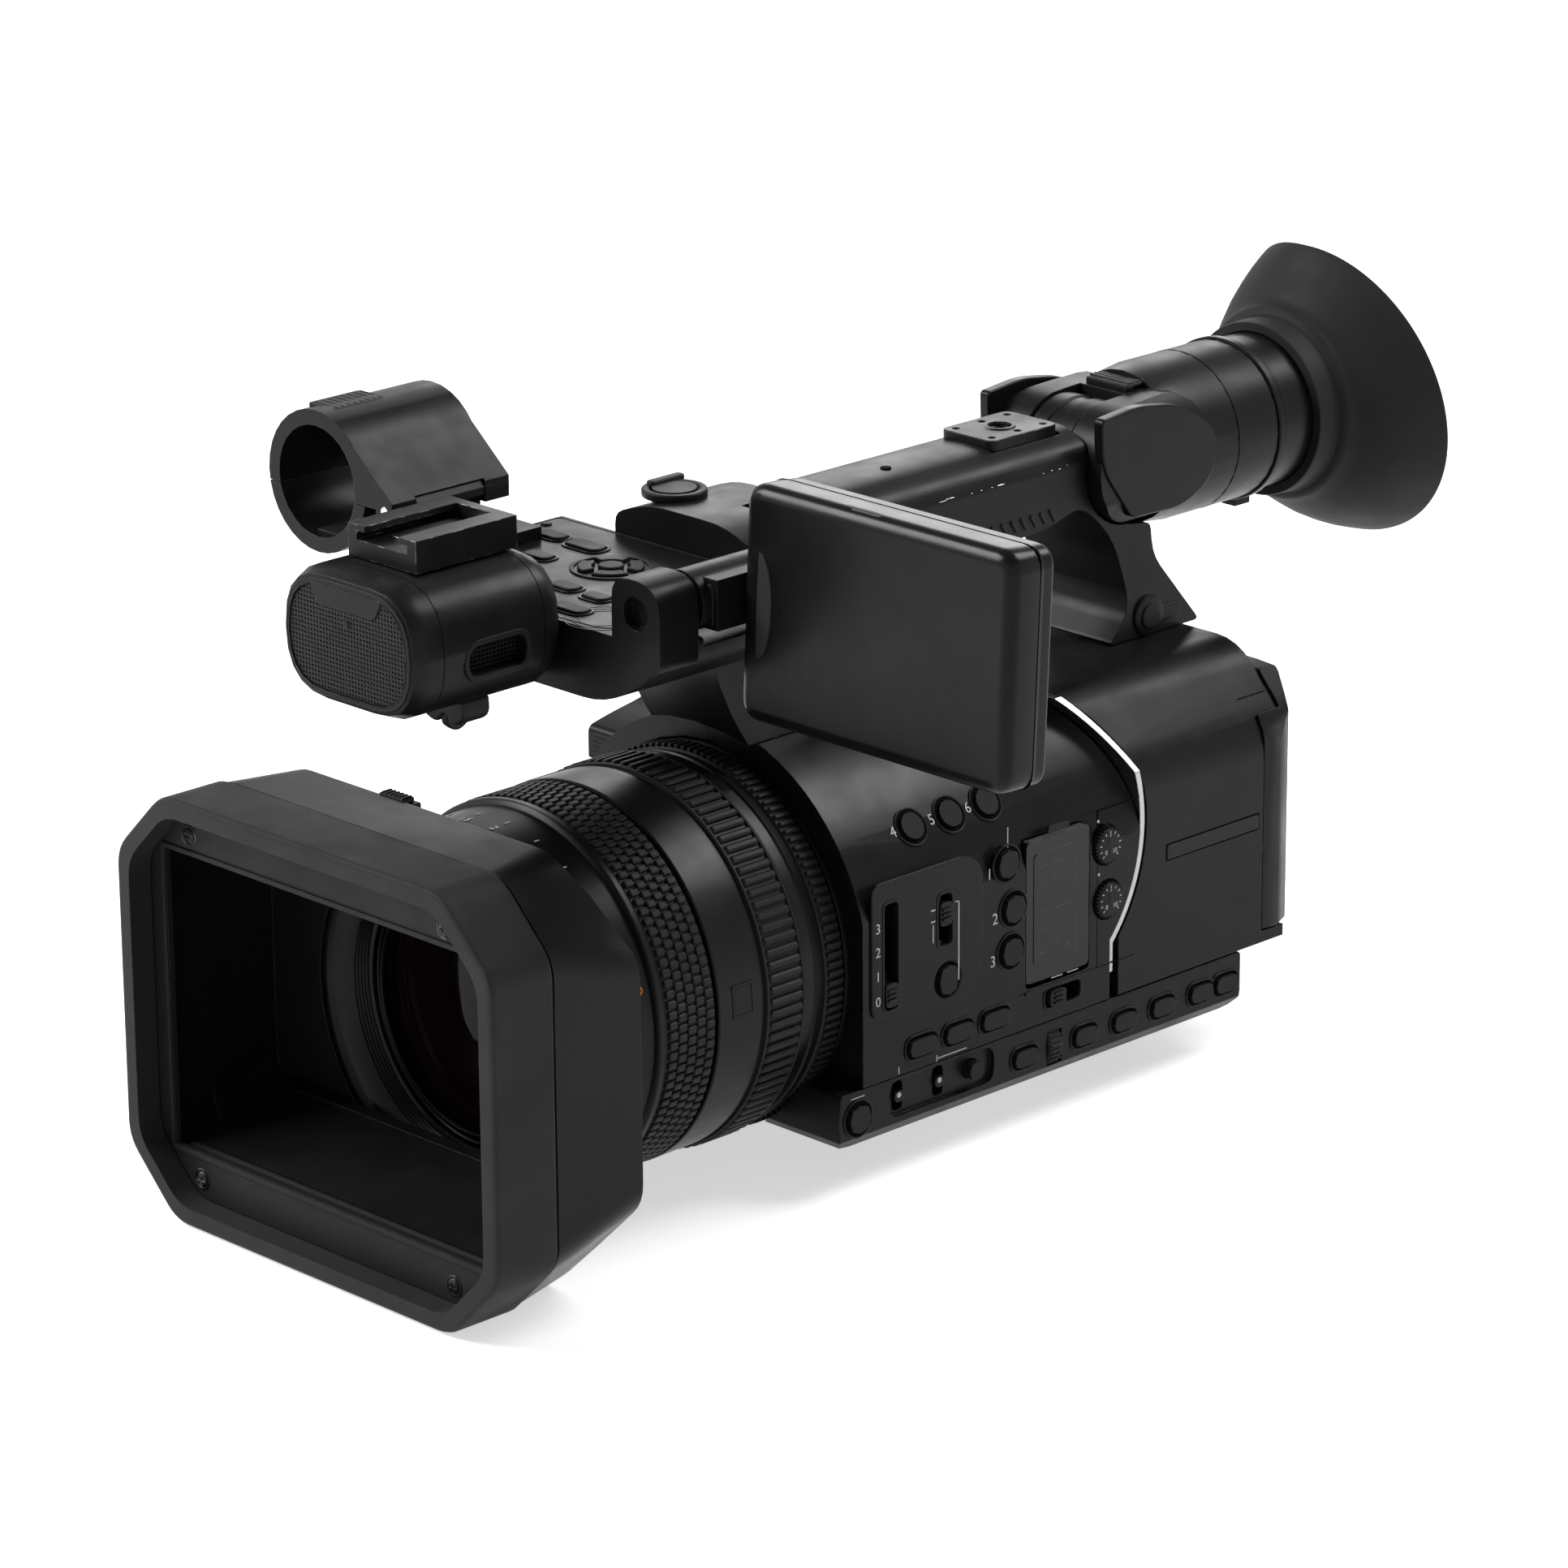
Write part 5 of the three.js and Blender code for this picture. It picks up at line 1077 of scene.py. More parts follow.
@dataclass
class LeftControls(Assembly):
    """Keys, slide switches, dials, audio door and menu wheel of the operator's side."""

    name: str = "left controls"
    round_keys: tuple[Point, ...] = ((-5.3, 64.2), (-2.8, 51.3), (-3.6, 39.6), (-60.0, 8.6), (-27.6, 38.2))
    upper_keys: tuple[float, ...] = (-32.0, -18.0, -4.5)
    pill_keys: tuple[Point, ...] = ((-36.8, 22.4), (-23.3, 22.4), (-9.6, 22.4))
    menu_keys: tuple[Point, ...] = ((40.1, 8.6), (55.2, 8.6), (70.4, 8.6), (80.6, 8.6), (1.8, 8.6),
                                    (24.8, 8.6))
    upper_turn: float = 35
    upper_radius: float = 58.0
    dials: tuple[tuple[str, Point], ...] = (("level_dial_1", (33.0, 59.9)), ("level_dial_2", (33.4, 44.6)))
    wheel: Place = (50.4, 13.3, 8.4)

    def build(self) -> None:
        """Makes and dresses every control on the left side."""
        self.smoothed(MATT, 28, "assign_keys", "mode_keys", "menu_keys", "search_keys", "iris_button",
                      "push_auto_button", "nd_switch", "focus_switch", "gain_switch", "white_switch",
                      "audio_mode_switch", "shoulder_keys")
        self.keep(PANE, "audio_door")
        self.dress(self.key_rims(), "key_rims", SIDE)
        self.dress(self.pill_rims(), "pill_rims", SIDE)
        self.dress(self.key_gaps(), "key_gaps", PAINTED_SHADE)
        self.dress(self.panel(), "switch_panel", SIDE)
        self.dress(self.slot_rims(), "slot_rims", MATT)
        self.dress(self.figures(), "side_figures", WHITE)
        self.dress(self.lines(), "side_lines", WHITE)
        for name, switch, y, z in (("nd", "nd", -48.5, 39.5), ("focus", "focus", -28.7, 56.6),
                                   ("audio", "audio_mode", 13.6, 22.6)):
            self.dress(self.knob_ribs(y, z), f"slider_ribs_{name}", MATT, f"{switch}_switch_body")
        for switch, y in (("gain", -44.3), ("white", -29.3)):
            spot = peg("spot", Axis.X, (y - 0.2, 10.6), 0.75, LEFT - 0.6, LEFT - 0.42, 0.05, 14)
            self.dress(spot, f"{switch}_spot", WHITE, f"{switch}_switch_body")
        for node, middle in self.dials:
            self.dress(self.dial(middle), f"{node}_knob", MATT, f"{node}_body", node)
            self.dress(self.dial_marks(middle), f"{node}_marks", WHITE, f"{node}_body")
        self.dress(self.door_marks(), "door_marks", FADED, "audio_door_body")
        window = plate("window", Axis.X, [rect(5.0, 21.5, 33.0, 64.0, 1.6)], LEFT - 0.4, LEFT + 0.22, 0.15)
        self.dress(window, "door_window", PANE, "audio_door_body")
        self.dress(self.door_hinge(), "door_hinge", MATT)
        self.dress(self.menu_wheel(), "wheel_ribs", RUBBER, "menu_wheel_body", "menu_wheel", "matt_plastic")

    def on_round(self, name: str, y: float, outer: float, inner: float, proud: float, bevel: float) -> Piece:
        """A ring round one of the keys on the round flank above the side."""
        skin = self.upper_radius
        ring = hoop(name, Axis.X, (y, AXIS_Z), outer, inner, skin - 0.4, skin + proud, bevel)
        return turned(ring, Axis.Y, -self.upper_turn, (0, 0, AXIS_Z))

    def key_rims(self) -> Piece:
        """Raised rings round the round keys."""
        made = [hoop("rim", Axis.X, spot, 5.4, 4.8, LEFT - 0.2, LEFT + 0.35, 0.15)
                for spot in self.round_keys]
        return join(made + [self.on_round("rim", y, 5.4, 4.8, 0.25, 0.15) for y in self.upper_keys])

    def key_gaps(self) -> Piece:
        """The dark gaps round every key, as flat near-black rings and frames: painted shade standing in for
        the shade in the gaps.
        """
        made = [hoop("gap", Axis.X, spot, 4.9, 3.85, LEFT - 0.2, LEFT + 0.05, 0.01)
                for spot in self.round_keys]
        made += [self.on_round("gap", y, 4.9, 3.85, 0.06, 0.01) for y in self.upper_keys]
        for keys, wide in ((self.pill_keys, 5.05), (self.menu_keys, 4.35)):
            for spot in keys:
                loops = framed(around(*spot, wide + 0.75, 3.1), 0.75, 3.05, 2.3)
                made.append(plate("gap", Axis.X, loops, LEFT - 0.2, LEFT + 0.05, 0.01))
        return join(made)

    def pill_rims(self) -> Piece:
        """Raised rims round the pill-shaped keys, with the webs that tie some in a row."""
        made = []
        for keys, wide in ((self.pill_keys, 5.35), (self.menu_keys, 4.65)):
            for spot in keys:
                loops = framed(around(*spot, wide + 0.95, 3.6), 0.6, 3.55, 2.95)
                made.append(plate("rim", Axis.X, loops, LEFT - 0.2, LEFT + 0.35, 0.15))
        for y0, y1, z in ((-31, -29.4, 22.1), (45.2, 50.0, 8.3), (60.4, 65.2, 8.3)):
            made.append(block("web", (LEFT - 0.2, y0, z), (LEFT + 0.2, y1, z + 0.6), 0.1))
        return join(made)

    def panel(self) -> Piece:
        """The raised panel that carries the filter and focus switches."""
        outline = round_loop([(-55.4, 34.2, 3), (-21.6, 29.6, 6), (-14.6, 38, 5), (-14.6, 66, 6),
                              (-20, 70.6, 5), (-55.4, 70.6, 3)], 4)
        holes = [rect(-51.4, -45.6, 35.1, 64.9, 1.9), rect(-31.6, -25.8, 47.6, 62.4, 1.9),
                 circle(self.round_keys[-1], 4.9, 36)]
        return plate("panel", Axis.X, [outline, *holes], LEFT - 0.3, LEFT + 0.7, 0.35)

    def slot_rims(self) -> Piece:
        """Thin dark lips round the slots of the slide switches."""
        slots = (((-51.7, -45.3, 34.8, 65.2), 0.9), ((-31.9, -25.5, 47.3, 62.7), 0.9),
                 ((8.9, 23.7, 19.3, 25.9), 0.25))
        return join([plate("lip", Axis.X, framed(span, 0.7, 2.2, 1.6), LEFT - 0.3, LEFT + proud, 0.12)
                     for span, proud in slots])

    def figures(self) -> Piece:
        """Plain figures beside the keys and along the filter switch."""
        beside = (("1", -11.6, 62.6), ("2", -9.4, 49.8), ("3", -10.2, 38.2))
        made = [numeral(text, 4.4, (LEFT + 0.03, y, z), RIGHTWARD, UPWARD) for text, y, z in beside]
        filters = (("3", 58.4), ("2", 52.0), ("1", 45.4), ("0", 38.6))
        made += [numeral(text, 3.8, (LEFT + 0.72, -53.2, z), RIGHTWARD, UPWARD) for text, z in filters]
        turn = math.radians(self.upper_turn)
        out = Vector((math.cos(turn), 0, math.sin(turn))) * (self.upper_radius + 0.03)
        rise = Vector((-math.sin(turn), 0, math.cos(turn)))
        for text, y in (("4", -38.4), ("5", -24.4), ("6", -11.0)):
            made.append(numeral(text, 4.2, Vector((0, y, AXIS_Z)) + out, RIGHTWARD, rise))
        return join(made)

    def lines(self) -> Piece:
        """Plain bracket lines and index dots beside the switches, on the panel and on the cover."""
        bars = [
            (0.7, -23.9, -23.5, 37.0, 59.0), (0.7, -25.0, -23.5, 58.7, 59.0), (0.7, -25.0, -23.5, 37.0, 37.3),
            (0.7, -33.9, -32.4, 58.3, 58.7), (0.7, -33.9, -32.4, 55.2, 55.6), (0.7, -33.3, -33.0, 49.6, 54.6),
            (0, -45.2, -44.9, 16.6, 18.6), (0, -31.0, -20.0, 17.0, 17.3), (0, -31.2, -30.9, 16.3, 18.1),
            (0, -5.0, -4.7, 68.4, 74.0), (0, 12.0, 16.2, 27.9, 28.15), (0, 18.0, 22.2, 27.9, 28.15),
            (0, -62.5, -57.6, 14.2, 14.45),
        ]
        made = [block("line", (LEFT + proud - 0.05, y0, z0), (LEFT + proud + 0.06, y1, z1), 0.01, 1)
                for proud, y0, y1, z0, z1 in bars]
        for spot in ((29.6, 67.2), (30.0, 52.3)):
            made.append(peg("dot", Axis.X, spot, 0.45, LEFT - 0.1, LEFT + 0.06, 0.02, 12))
        return join(made)

    def knob_ribs(self, y: float, z: float) -> Piece:
        """Three small ribs on a slide switch's knob."""
        rib = block("rib", (LEFT + 1.0, y - 1.7, z - 1.6), (LEFT + 1.75, y + 1.7, z - 1.0), 0.15)
        return copies(rib, (0, 0, 1.3), 3)

    def dial(self, middle: Point) -> Piece:
        """A level dial with a knurled rim and a slotted face."""
        y, z = middle
        wall = LEFT - 1.5
        knob = lathe("knob", [(0, LEFT + 1.35), (3.6, LEFT + 1.35), (4.3, LEFT + 1.2), (4.6, LEFT + 0.9),
                              (4.6, wall), (0, wall)], middle, 48, Axis.X, closed=False)
        tooth = block("tooth", (wall, y - 0.28, z + 4.4), (LEFT + 0.95, y + 0.28, z + 5.15), 0.12, 1)
        teeth = round_about(tooth, (0, y, z), Axis.X, 30)
        stem = peg("stem", Axis.X, middle, 1.4, LEFT - 6, wall + 0.2, 0.1, 12)
        pointer = block("pointer", (LEFT + 1.2, y - 0.55, z - 2.4), (LEFT + 1.42, y + 0.55, z + 2.6), 0.08, 1)
        return join([knob, teeth, stem, pointer])

    def dial_marks(self, middle: Point) -> Piece:
        """Ticks and a few plain figures round a dial's face."""
        y, z = middle
        made = []
        for i in range(11):
            mark = block("tick", (LEFT + 1.33, y - 0.14, z + 3.3), (LEFT + 1.42, y + 0.14, z + 4.1), 0.02, 1)
            made.append(turned(mark, Axis.X, 135 - 27 * i, (0, y, z)))
        for text, degrees in (("0", -135), ("5", 0), ("10", 135)):
            turn = math.radians(degrees)
            spot = (LEFT + 1.38, y + 2.3 * math.sin(turn), z + 2.3 * math.cos(turn))
            made.append(numeral(text, 1.9, spot, RIGHTWARD, UPWARD))
        return join(made)

    def door_marks(self) -> Piece:
        """Pale lines of the switch plate seen through the window."""
        level = [(7.0, 10.6, 60.2), (12.2, 16.0, 60.2), (7.0, 8.8, 55.8), (12.2, 13.6, 55.8),
                 (7.0, 10.6, 47.6), (12.2, 18.4, 47.6), (7.0, 8.8, 43.0), (12.2, 14.6, 38.6),
                 (7.0, 10.0, 36.2), (16.4, 19.2, 36.2)]
        upright = [(11.4, 54.4, 61.6), (11.4, 37.0, 49.2), (17.6, 50.4, 58.0)]
        spans = [(y0, y1, z - 0.18, z + 0.18) for y0, y1, z in level]
        spans += [(y - 0.12, y + 0.12, z0, z1) for y, z0, z1 in upright]
        return join([block("line", (LEFT + 0.2, y0, z0), (LEFT + 0.27, y1, z1), 0.01, 1)
                     for y0, y1, z0, z1 in spans])

    def door_hinge(self) -> Piece:
        """The hinge lip under the audio door and its finger notch above."""
        lip = plate("lip", Axis.X, [rect(2.0, 29.0, 25.2, 26.5, 0.6)], LEFT - 0.3, LEFT + 0.35, 0.15)
        return join([lip, plate("notch", Axis.X, [rect(10.0, 18.0, 68.6, 70.6, 0.9)], LEFT - 0.3, LEFT + 0.5,
                                0.2)])

    def menu_wheel(self) -> Piece:
        """The ribbed menu wheel."""
        x, y, z = self.wheel
        rim = lathe("wheel", [(0, y - 2.5), (6.1, y - 2.5), (6.4, y - 2.2), (6.4, y + 2.2), (6.1, y + 2.5),
                              (0, y + 2.5)], (x, z), 48, closed=False)
        rib = block("rib", (x - 0.32, y - 2.3, z + 6.1), (x + 0.32, y + 2.3, z + 6.95), 0.2, 1)
        return join([rim, round_about(rib, (x, 0, z), Axis.Y, 30)])


@dataclass
class Handle(Assembly):
    """The top handle with its shoe plate, finger ribs, record button and zoom lever."""

    name: str = "handle"
    top: float = 158.5
    plate_y: Point = (37.0, 63.0)
    ribs: int = 8
    rub_count: int = 26
    lug: Point = (89.5, 102.6)

    def build(self) -> None:
        """Makes and dresses the handle."""
        self.smoothed(SHELL, 30, "handle")
        self.dress(self.shoe_plate(), "shoe_plate", BLACK_METAL, stands_for="handle_shoe_plate")
        self.dress(self.plate_holes(), "plate_holes", PAINTED_SHADE)
        self.dress(self.finger_ribs(), "finger_ribs", RUBBER)
        self.dress(self.rubs(), "handle_rubs", STEEL, slot="body_plastic")
        self.dress(self.lock(), "handle_lug", MATT)
        self.smoothed(MATT, 30, "handle_record_button", "handle_zoom_lever")
        self.dress(self.step_details(), "step_details", MATT)

    def shoe_plate(self) -> Piece:
        """The threaded plate let into the top, with its raised rim."""
        y0, y1 = self.plate_y
        middle = (0, (y0 + y1) / 2)
        foot = self.top - 3
        holes = [circle(middle, 3.1, 28)] + [circle(spot, 0.95, 14) for spot in self.small_holes()]
        body = plate("plate", Axis.Z, [rect(-9.7, 9.7, y0, y1, 3), *holes], self.top - 3.6, self.top + 1.6,
                     0.3)
        collar = hoop("collar", Axis.Z, middle, 4.3, 3.2, self.top + 1.4, self.top + 1.95, 0.15)
        turns = [(2.75 + 0.3 * (i % 2), foot + 0.45 * i + 0.22 * (i % 2)) for i in range(9)]
        thread = lathe("thread", turns + [(3.3, self.top + 0.8), (3.3, foot)], middle, 32, Axis.Z)
        return join([body, collar, thread])

    def small_holes(self) -> list[Point]:
        """Where the six small threaded holes of the shoe plate are."""
        y0, y1 = self.plate_y
        return [(side * 6.6, y) for side in (-1, 1) for y in (y0 + 3.2, (y0 + y1) / 2, y1 - 3.2)]

    def plate_holes(self) -> Piece:
        """Dark floors of the plate's holes, and of the small hole ahead of it: near-black discs of painted
        shade standing in for the shade down the holes.
        """
        top = self.top
        made = [peg("floor", Axis.Z, spot, 0.93, top - 3.5, top + 0.5, 0.02, 14)
                for spot in self.small_holes()]
        made.append(peg("floor", Axis.Z, (0, sum(self.plate_y) / 2), 2.7, top - 3.6, top - 2.6, 0.02))
        made.append(peg("hole", Axis.Z, (3, 4), 1.5, top - 1.5, top + 0.04, 0.02, 20))
        return join(made)

    def finger_ribs(self) -> Piece:
        """Slanted ribs along the left lower edge of the bar, where the fingers close."""
        rib = block("rib", (16.4, 26.0, 136.2), (17.7, 27.1, 140.2), 0.35)
        return copies(turned(rib, Axis.X, 32, (17, 26.5, 138.2)), (0, 3.7, 0), self.ribs)

    def rubs(self) -> Piece:
        """Bare bright rubs along the top left edge, where the paint has gone."""
        random.seed(11)
        made = []
        for _ in range(self.rub_count):
            y = -28 + 90 * random.random()
            long = random.choice((0.5, 0.8, 1.4, 2.6))
            wide = random.uniform(0.1, 0.3)
            z = self.top - 7.9 + random.uniform(-0.3, 0.25)
            made.append(block("rub", (16.6, y, z), (17.07, y + long, z + wide), 0.04, 1))
        return join(made)

    def lock(self) -> Piece:
        """The round lug with its lever at the rear foot of the arch."""
        y, z = self.lug
        boss = lathe("boss", [(0, 19.7), (3.2, 19.7), (3.5, 19.5), (3.5, 19.1), (4.9, 19.1), (5.6, 18.8),
                              (5.8, 18.2), (5.8, 16.5), (0, 16.5)], (y, z), 40, Axis.X, closed=False)
        outline = [(y + 3, z + 1.6, 1), (y + 12.6, z + 1.9, 1.8), (y + 13.4, z - 2.2, 1.8),
                   (y + 3, z - 3.4, 1)]
        return join([boss, plate("arm", Axis.X, [round_loop(outline, 1)], 16.5, 18.6, 0.5)])

    def step_details(self) -> Piece:
        """The collar round the record button and the guard of the zoom lever."""
        low, high = box_of("handle_record_button")
        x, y = (low.x + high.x) / 2, (low.y + high.y) / 2
        ring = hoop("ring", Axis.Z, (x, y), 8.6, 6.5, high.z - 2.2, high.z - 0.1, 0.5)
        outline = [(x - 8, y - 3, 3), (x - 8, y + 9, 3), (x - 5, y + 9, 2), (x - 5, y - 3, 1)]
        return join([ring, plate("wing", Axis.Z, [round_loop(outline, 1)], high.z - 2.0, high.z + 0.8, 0.6)])


@dataclass
class Head(Assembly):
    """The control head with its keys, the microphone, the shoe and the microphone clamp.

    Each key has its middle and its two half sizes.
    """

    name: str = "head"
    top: float = 150.0
    keys: tuple[Span, ...] = ((-33.5, -80.7, 4.6, 2.6), (-20.3, -81.2, 6.0, 3.0), (-34.4, -97.0, 3.4, 2.4),
                              (-22.4, -95.5, 4.4, 2.6), (-34.0, -110.2, 3.4, 2.4), (-24.4, -109.0, 4.0, 2.6),
                              (2.5, -109.1, 4.4, 2.6), (14.7, -109.9, 4.0, 2.4), (17.2, -121.0, 5.6, 2.6),
                              (20.4, -100.0, 3.6, 2.4))
    pad: Point = (-1.9, -89.6)

    def build(self) -> None:
        """Makes and dresses the head and what it carries."""
        self.smoothed(SHELL, 30, "control_head")
        self.smoothed(SHELL, 34, "mic_housing")
        self.keep(BLACK_METAL, "accessory_shoe")
        self.smoothed(SHELL, 30, "mic_clamp_upper", "mic_clamp_lower")
        self.dress(self.key_set(), "head_keys", MATT)
        self.dress(self.key_wells(), "head_key_wells", SIDE)
        self.dress(self.dial_pad(), "head_pad", MATT)
        self.dress(self.grille(), "mic_grille", GRILLE)
        self.dress(self.grille_frame(), "mic_grille_frame", MATT)
        for side, label in ((1, "left"), (-1, "right")):
            self.dress(self.side_mesh(side), f"mic_side_mesh_{label}", GRILLE)
            low, high = sorted((side * 24.6, side * 25.75))
            rim = plate("rim", Axis.X, framed((-163.4, -141.6, 141.6, 152.4), 1.4, 5.2, 3.9), low, high, 0.25)
            self.dress(rim, f"mic_side_frame_{label}", MATT)
        self.dress(self.mic_seams(), "mic_seams", PAINTED_SHADE)
        self.dress(self.cable_clip(), "cable_clip", RUBBER, slot="matt_plastic")
        self.dress(self.shoe_spring(), "shoe_spring", STEEL)
        self.dress(self.clamp_pad(), "clamp_pad", MATT, "mic_clamp_upper_body")
        self.dress(self.clamp_pin(), "clamp_pin", STEEL)
        self.dress(block("lining", (-54, -142, 159.9), (-46, -109, 160.9), 0.3), "clamp_lining", RUBBER)

    def key_set(self) -> Piece:
        """Oval keys on the head's top."""
        made = [plate("key", Axis.Z, [rect(*around(*key), key[3])], self.top - 0.3, self.top + 0.9, 0.4)
                for key in self.keys]
        return join([*made,
                     peg("lamp", Axis.Z, (-42.9, -74.3), 1.5, self.top - 0.2, self.top + 0.5, 0.3, 20)])

    def key_wells(self) -> Piece:
        """The shallow rims round the keys, and the seam round the panel."""
        made = [plate("well", Axis.Z, framed(around(x, y, w + 1.0, h + 1.0), 0.75, h + 1.0, h + 0.2),
                      self.top - 0.2, self.top + 0.35, 0.12) for x, y, w, h in self.keys]
        outlines = [[(-45.6, -67, 2), (38, -67, 2), (38, -126, 8), (24, -127.5, 6), (-45.6, -127.5, 4)],
                    [(-45.2, -67.4, 2), (37.6, -67.4, 2), (37.6, -125.7, 8), (23.8, -127.1, 6),
                     (-45.2, -127.1, 4)]]
        loops = [round_loop(outline, 3) for outline in outlines]
        made.append(plate("panel", Axis.Z, loops, self.top - 0.1, self.top + 0.15, 0.03))
        for radius in (6.4, 8.2, 10.0):
            made.append(hoop("arc", Axis.Z, (28.6, -120.4), radius, radius - 0.3, self.top - 0.1,
                             self.top + 0.08, 0.03))
        return join(made)

    def dial_pad(self) -> Piece:
        """The four-way pad: a centre key inside a ring cut in four."""
        x, y = self.pad
        made = [peg("centre", Axis.Z, self.pad, 3.3, self.top - 0.2, self.top + 1.1, 0.4)]
        for quarter in range(4):
            start, end = (math.radians(90 * quarter + degrees) for degrees in (12, 78))
            turns = [start + (end - start) * i / 10 for i in range(11)]
            outline = [(x + 8.6 * math.cos(t), y + 8.6 * math.sin(t)) for t in turns]
            outline += [(x + 4.9 * math.cos(t), y + 4.9 * math.sin(t)) for t in reversed(turns)]
            made.append(plate("quarter", Axis.Z, [outline], self.top - 0.2, self.top + 0.9, 0.35))
        made.append(hoop("rim", Axis.Z, self.pad, 10.6, 9.5, self.top - 0.2, self.top + 0.4, 0.15))
        return join(made)

    def front(self) -> Place:
        """The middle of the microphone's front in X and Z, and its place in Y."""
        low, high = box_of("mic_housing")
        return (low.x + high.x) / 2, (low.z + high.z) / 2, low.y

    def grille(self) -> Piece:
        """The domed, perforated front of the microphone."""
        x, z, face = self.front()
        return plate("grille", Axis.Y, [rect(*around(x, z, 22.6, 14.4), 14.2)], face + 0.35, face + 4.5, 1.6)

    def grille_frame(self) -> Piece:
        """The grille's raised rim, the bare bar across its top and the lamp."""
        x, z, face = self.front()
        loops = framed(around(x, z, 23.2, 15.0), 1.2, 14.8, 13.6)
        rim = plate("rim", Axis.Y, loops, face + 0.25, face + 3, 0.35)
        outline = [(x - 13.5, z + 13.6, 1), (x - 10.6, z + 8.2, 1.6), (x + 10.6, z + 8.2, 1.6),
                   (x + 13.5, z + 13.6, 1)]
        bar = plate("bar", Axis.Y, [round_loop(outline, 1)], face + 0.05, face + 2, 0.3)
        return join([rim, bar, peg("lamp", Axis.Y, (x, z + 5.2), 1.0, face + 0.1, face + 1.5, 0.25, 20)])

    def side_mesh(self, side: int) -> Piece:
        """Woven wire mesh at the bottom of a side slot."""
        face = side * 21.4
        wires = []
        for i in range(15):
            y = -161.3 + 1.25 * i
            wires.append(block("wire", (face - 0.25, y, 143.1), (face + 0.25, y + 0.42, 150.9), 0.08, 1))
        for i in range(7):
            z = 143.7 + 1.1 * i
            wires.append(block("wire", (face - 0.15, -161.9, z), (face + 0.35, -143.1, z + 0.42), 0.08, 1))
        return join(wires)

    def mic_seams(self) -> Piece:
        """The seams round the microphone's body, cut square to its length, as near-black bands of painted
        shade standing in for the shade in the joints.
        """
        loops = framed((-25.63, 25.63, 132.47, 167.53), 0.33, 17.0, 16.7)
        return join([plate("seam", Axis.Y, loops, y - 0.14, y + 0.14, 0.01) for y in (-170.0, -137.0)])

    def cable_clip(self) -> Piece:
        """The soft clip for a cable, under the microphone."""
        tab = [(2, 133.4, 1), (18, 134.6, 1), (18.4, 129.6, 3), (14, 127.2, 2), (11, 130.4, 1.6),
               (8, 127.0, 2), (3, 128.6, 3)]
        hook = [(-157, 132.6, 1), (-150, 132.6, 1), (-149.4, 126.4, 2.4), (-154, 124.4, 2.4),
                (-157.6, 127.2, 1.4)]
        return join([plate("tab", Axis.Y, [round_loop(tab, 1.5)], -158, -149, 0.7),
                     plate("hook", Axis.X, [round_loop(hook, 1.4)], 9.2, 11.4, 0.5)])

    def shoe_spring(self) -> Piece:
        """The bright spring leaf on the floor of the accessory shoe."""
        floor = box_of("accessory_shoe")[1].z - 3.8
        outline = [(-5.4, -160, 1), (5.4, -160, 1), (5.4, -140, 1), (2, -136.4, 1), (-5.4, -140, 1)]
        return plate("leaf", Axis.Z, [round_loop(outline, 1)], floor, floor + 0.5, 0.12)

    def clamp_pad(self) -> Piece:
        """The ribbed thumb pad on top of the clamp ring."""
        top = box_of("mic_clamp_upper")[1].z
        base = plate("pad", Axis.Z, [rect(-57.5, -47.0, -141, -124, 1.2)], top - 1.5, top - 0.15, 0.35)
        rib = block("rib", (-56.6, -139.6, top - 0.6), (-47.9, -138.8, top - 0.02), 0.2)
        return join([base, copies(rib, (0, 2.1, 0), 8)])

    def clamp_pin(self) -> Piece:
        """The bright heads of the hinge pin."""
        low, high = box_of("mic_clamp_upper")
        return join([peg("pin", Axis.Y, (-24.5, 171.5), 1.45, y + 0.02, y + 0.48, 0.15, 20)
                     for y in (low.y, high.y - 0.5)])


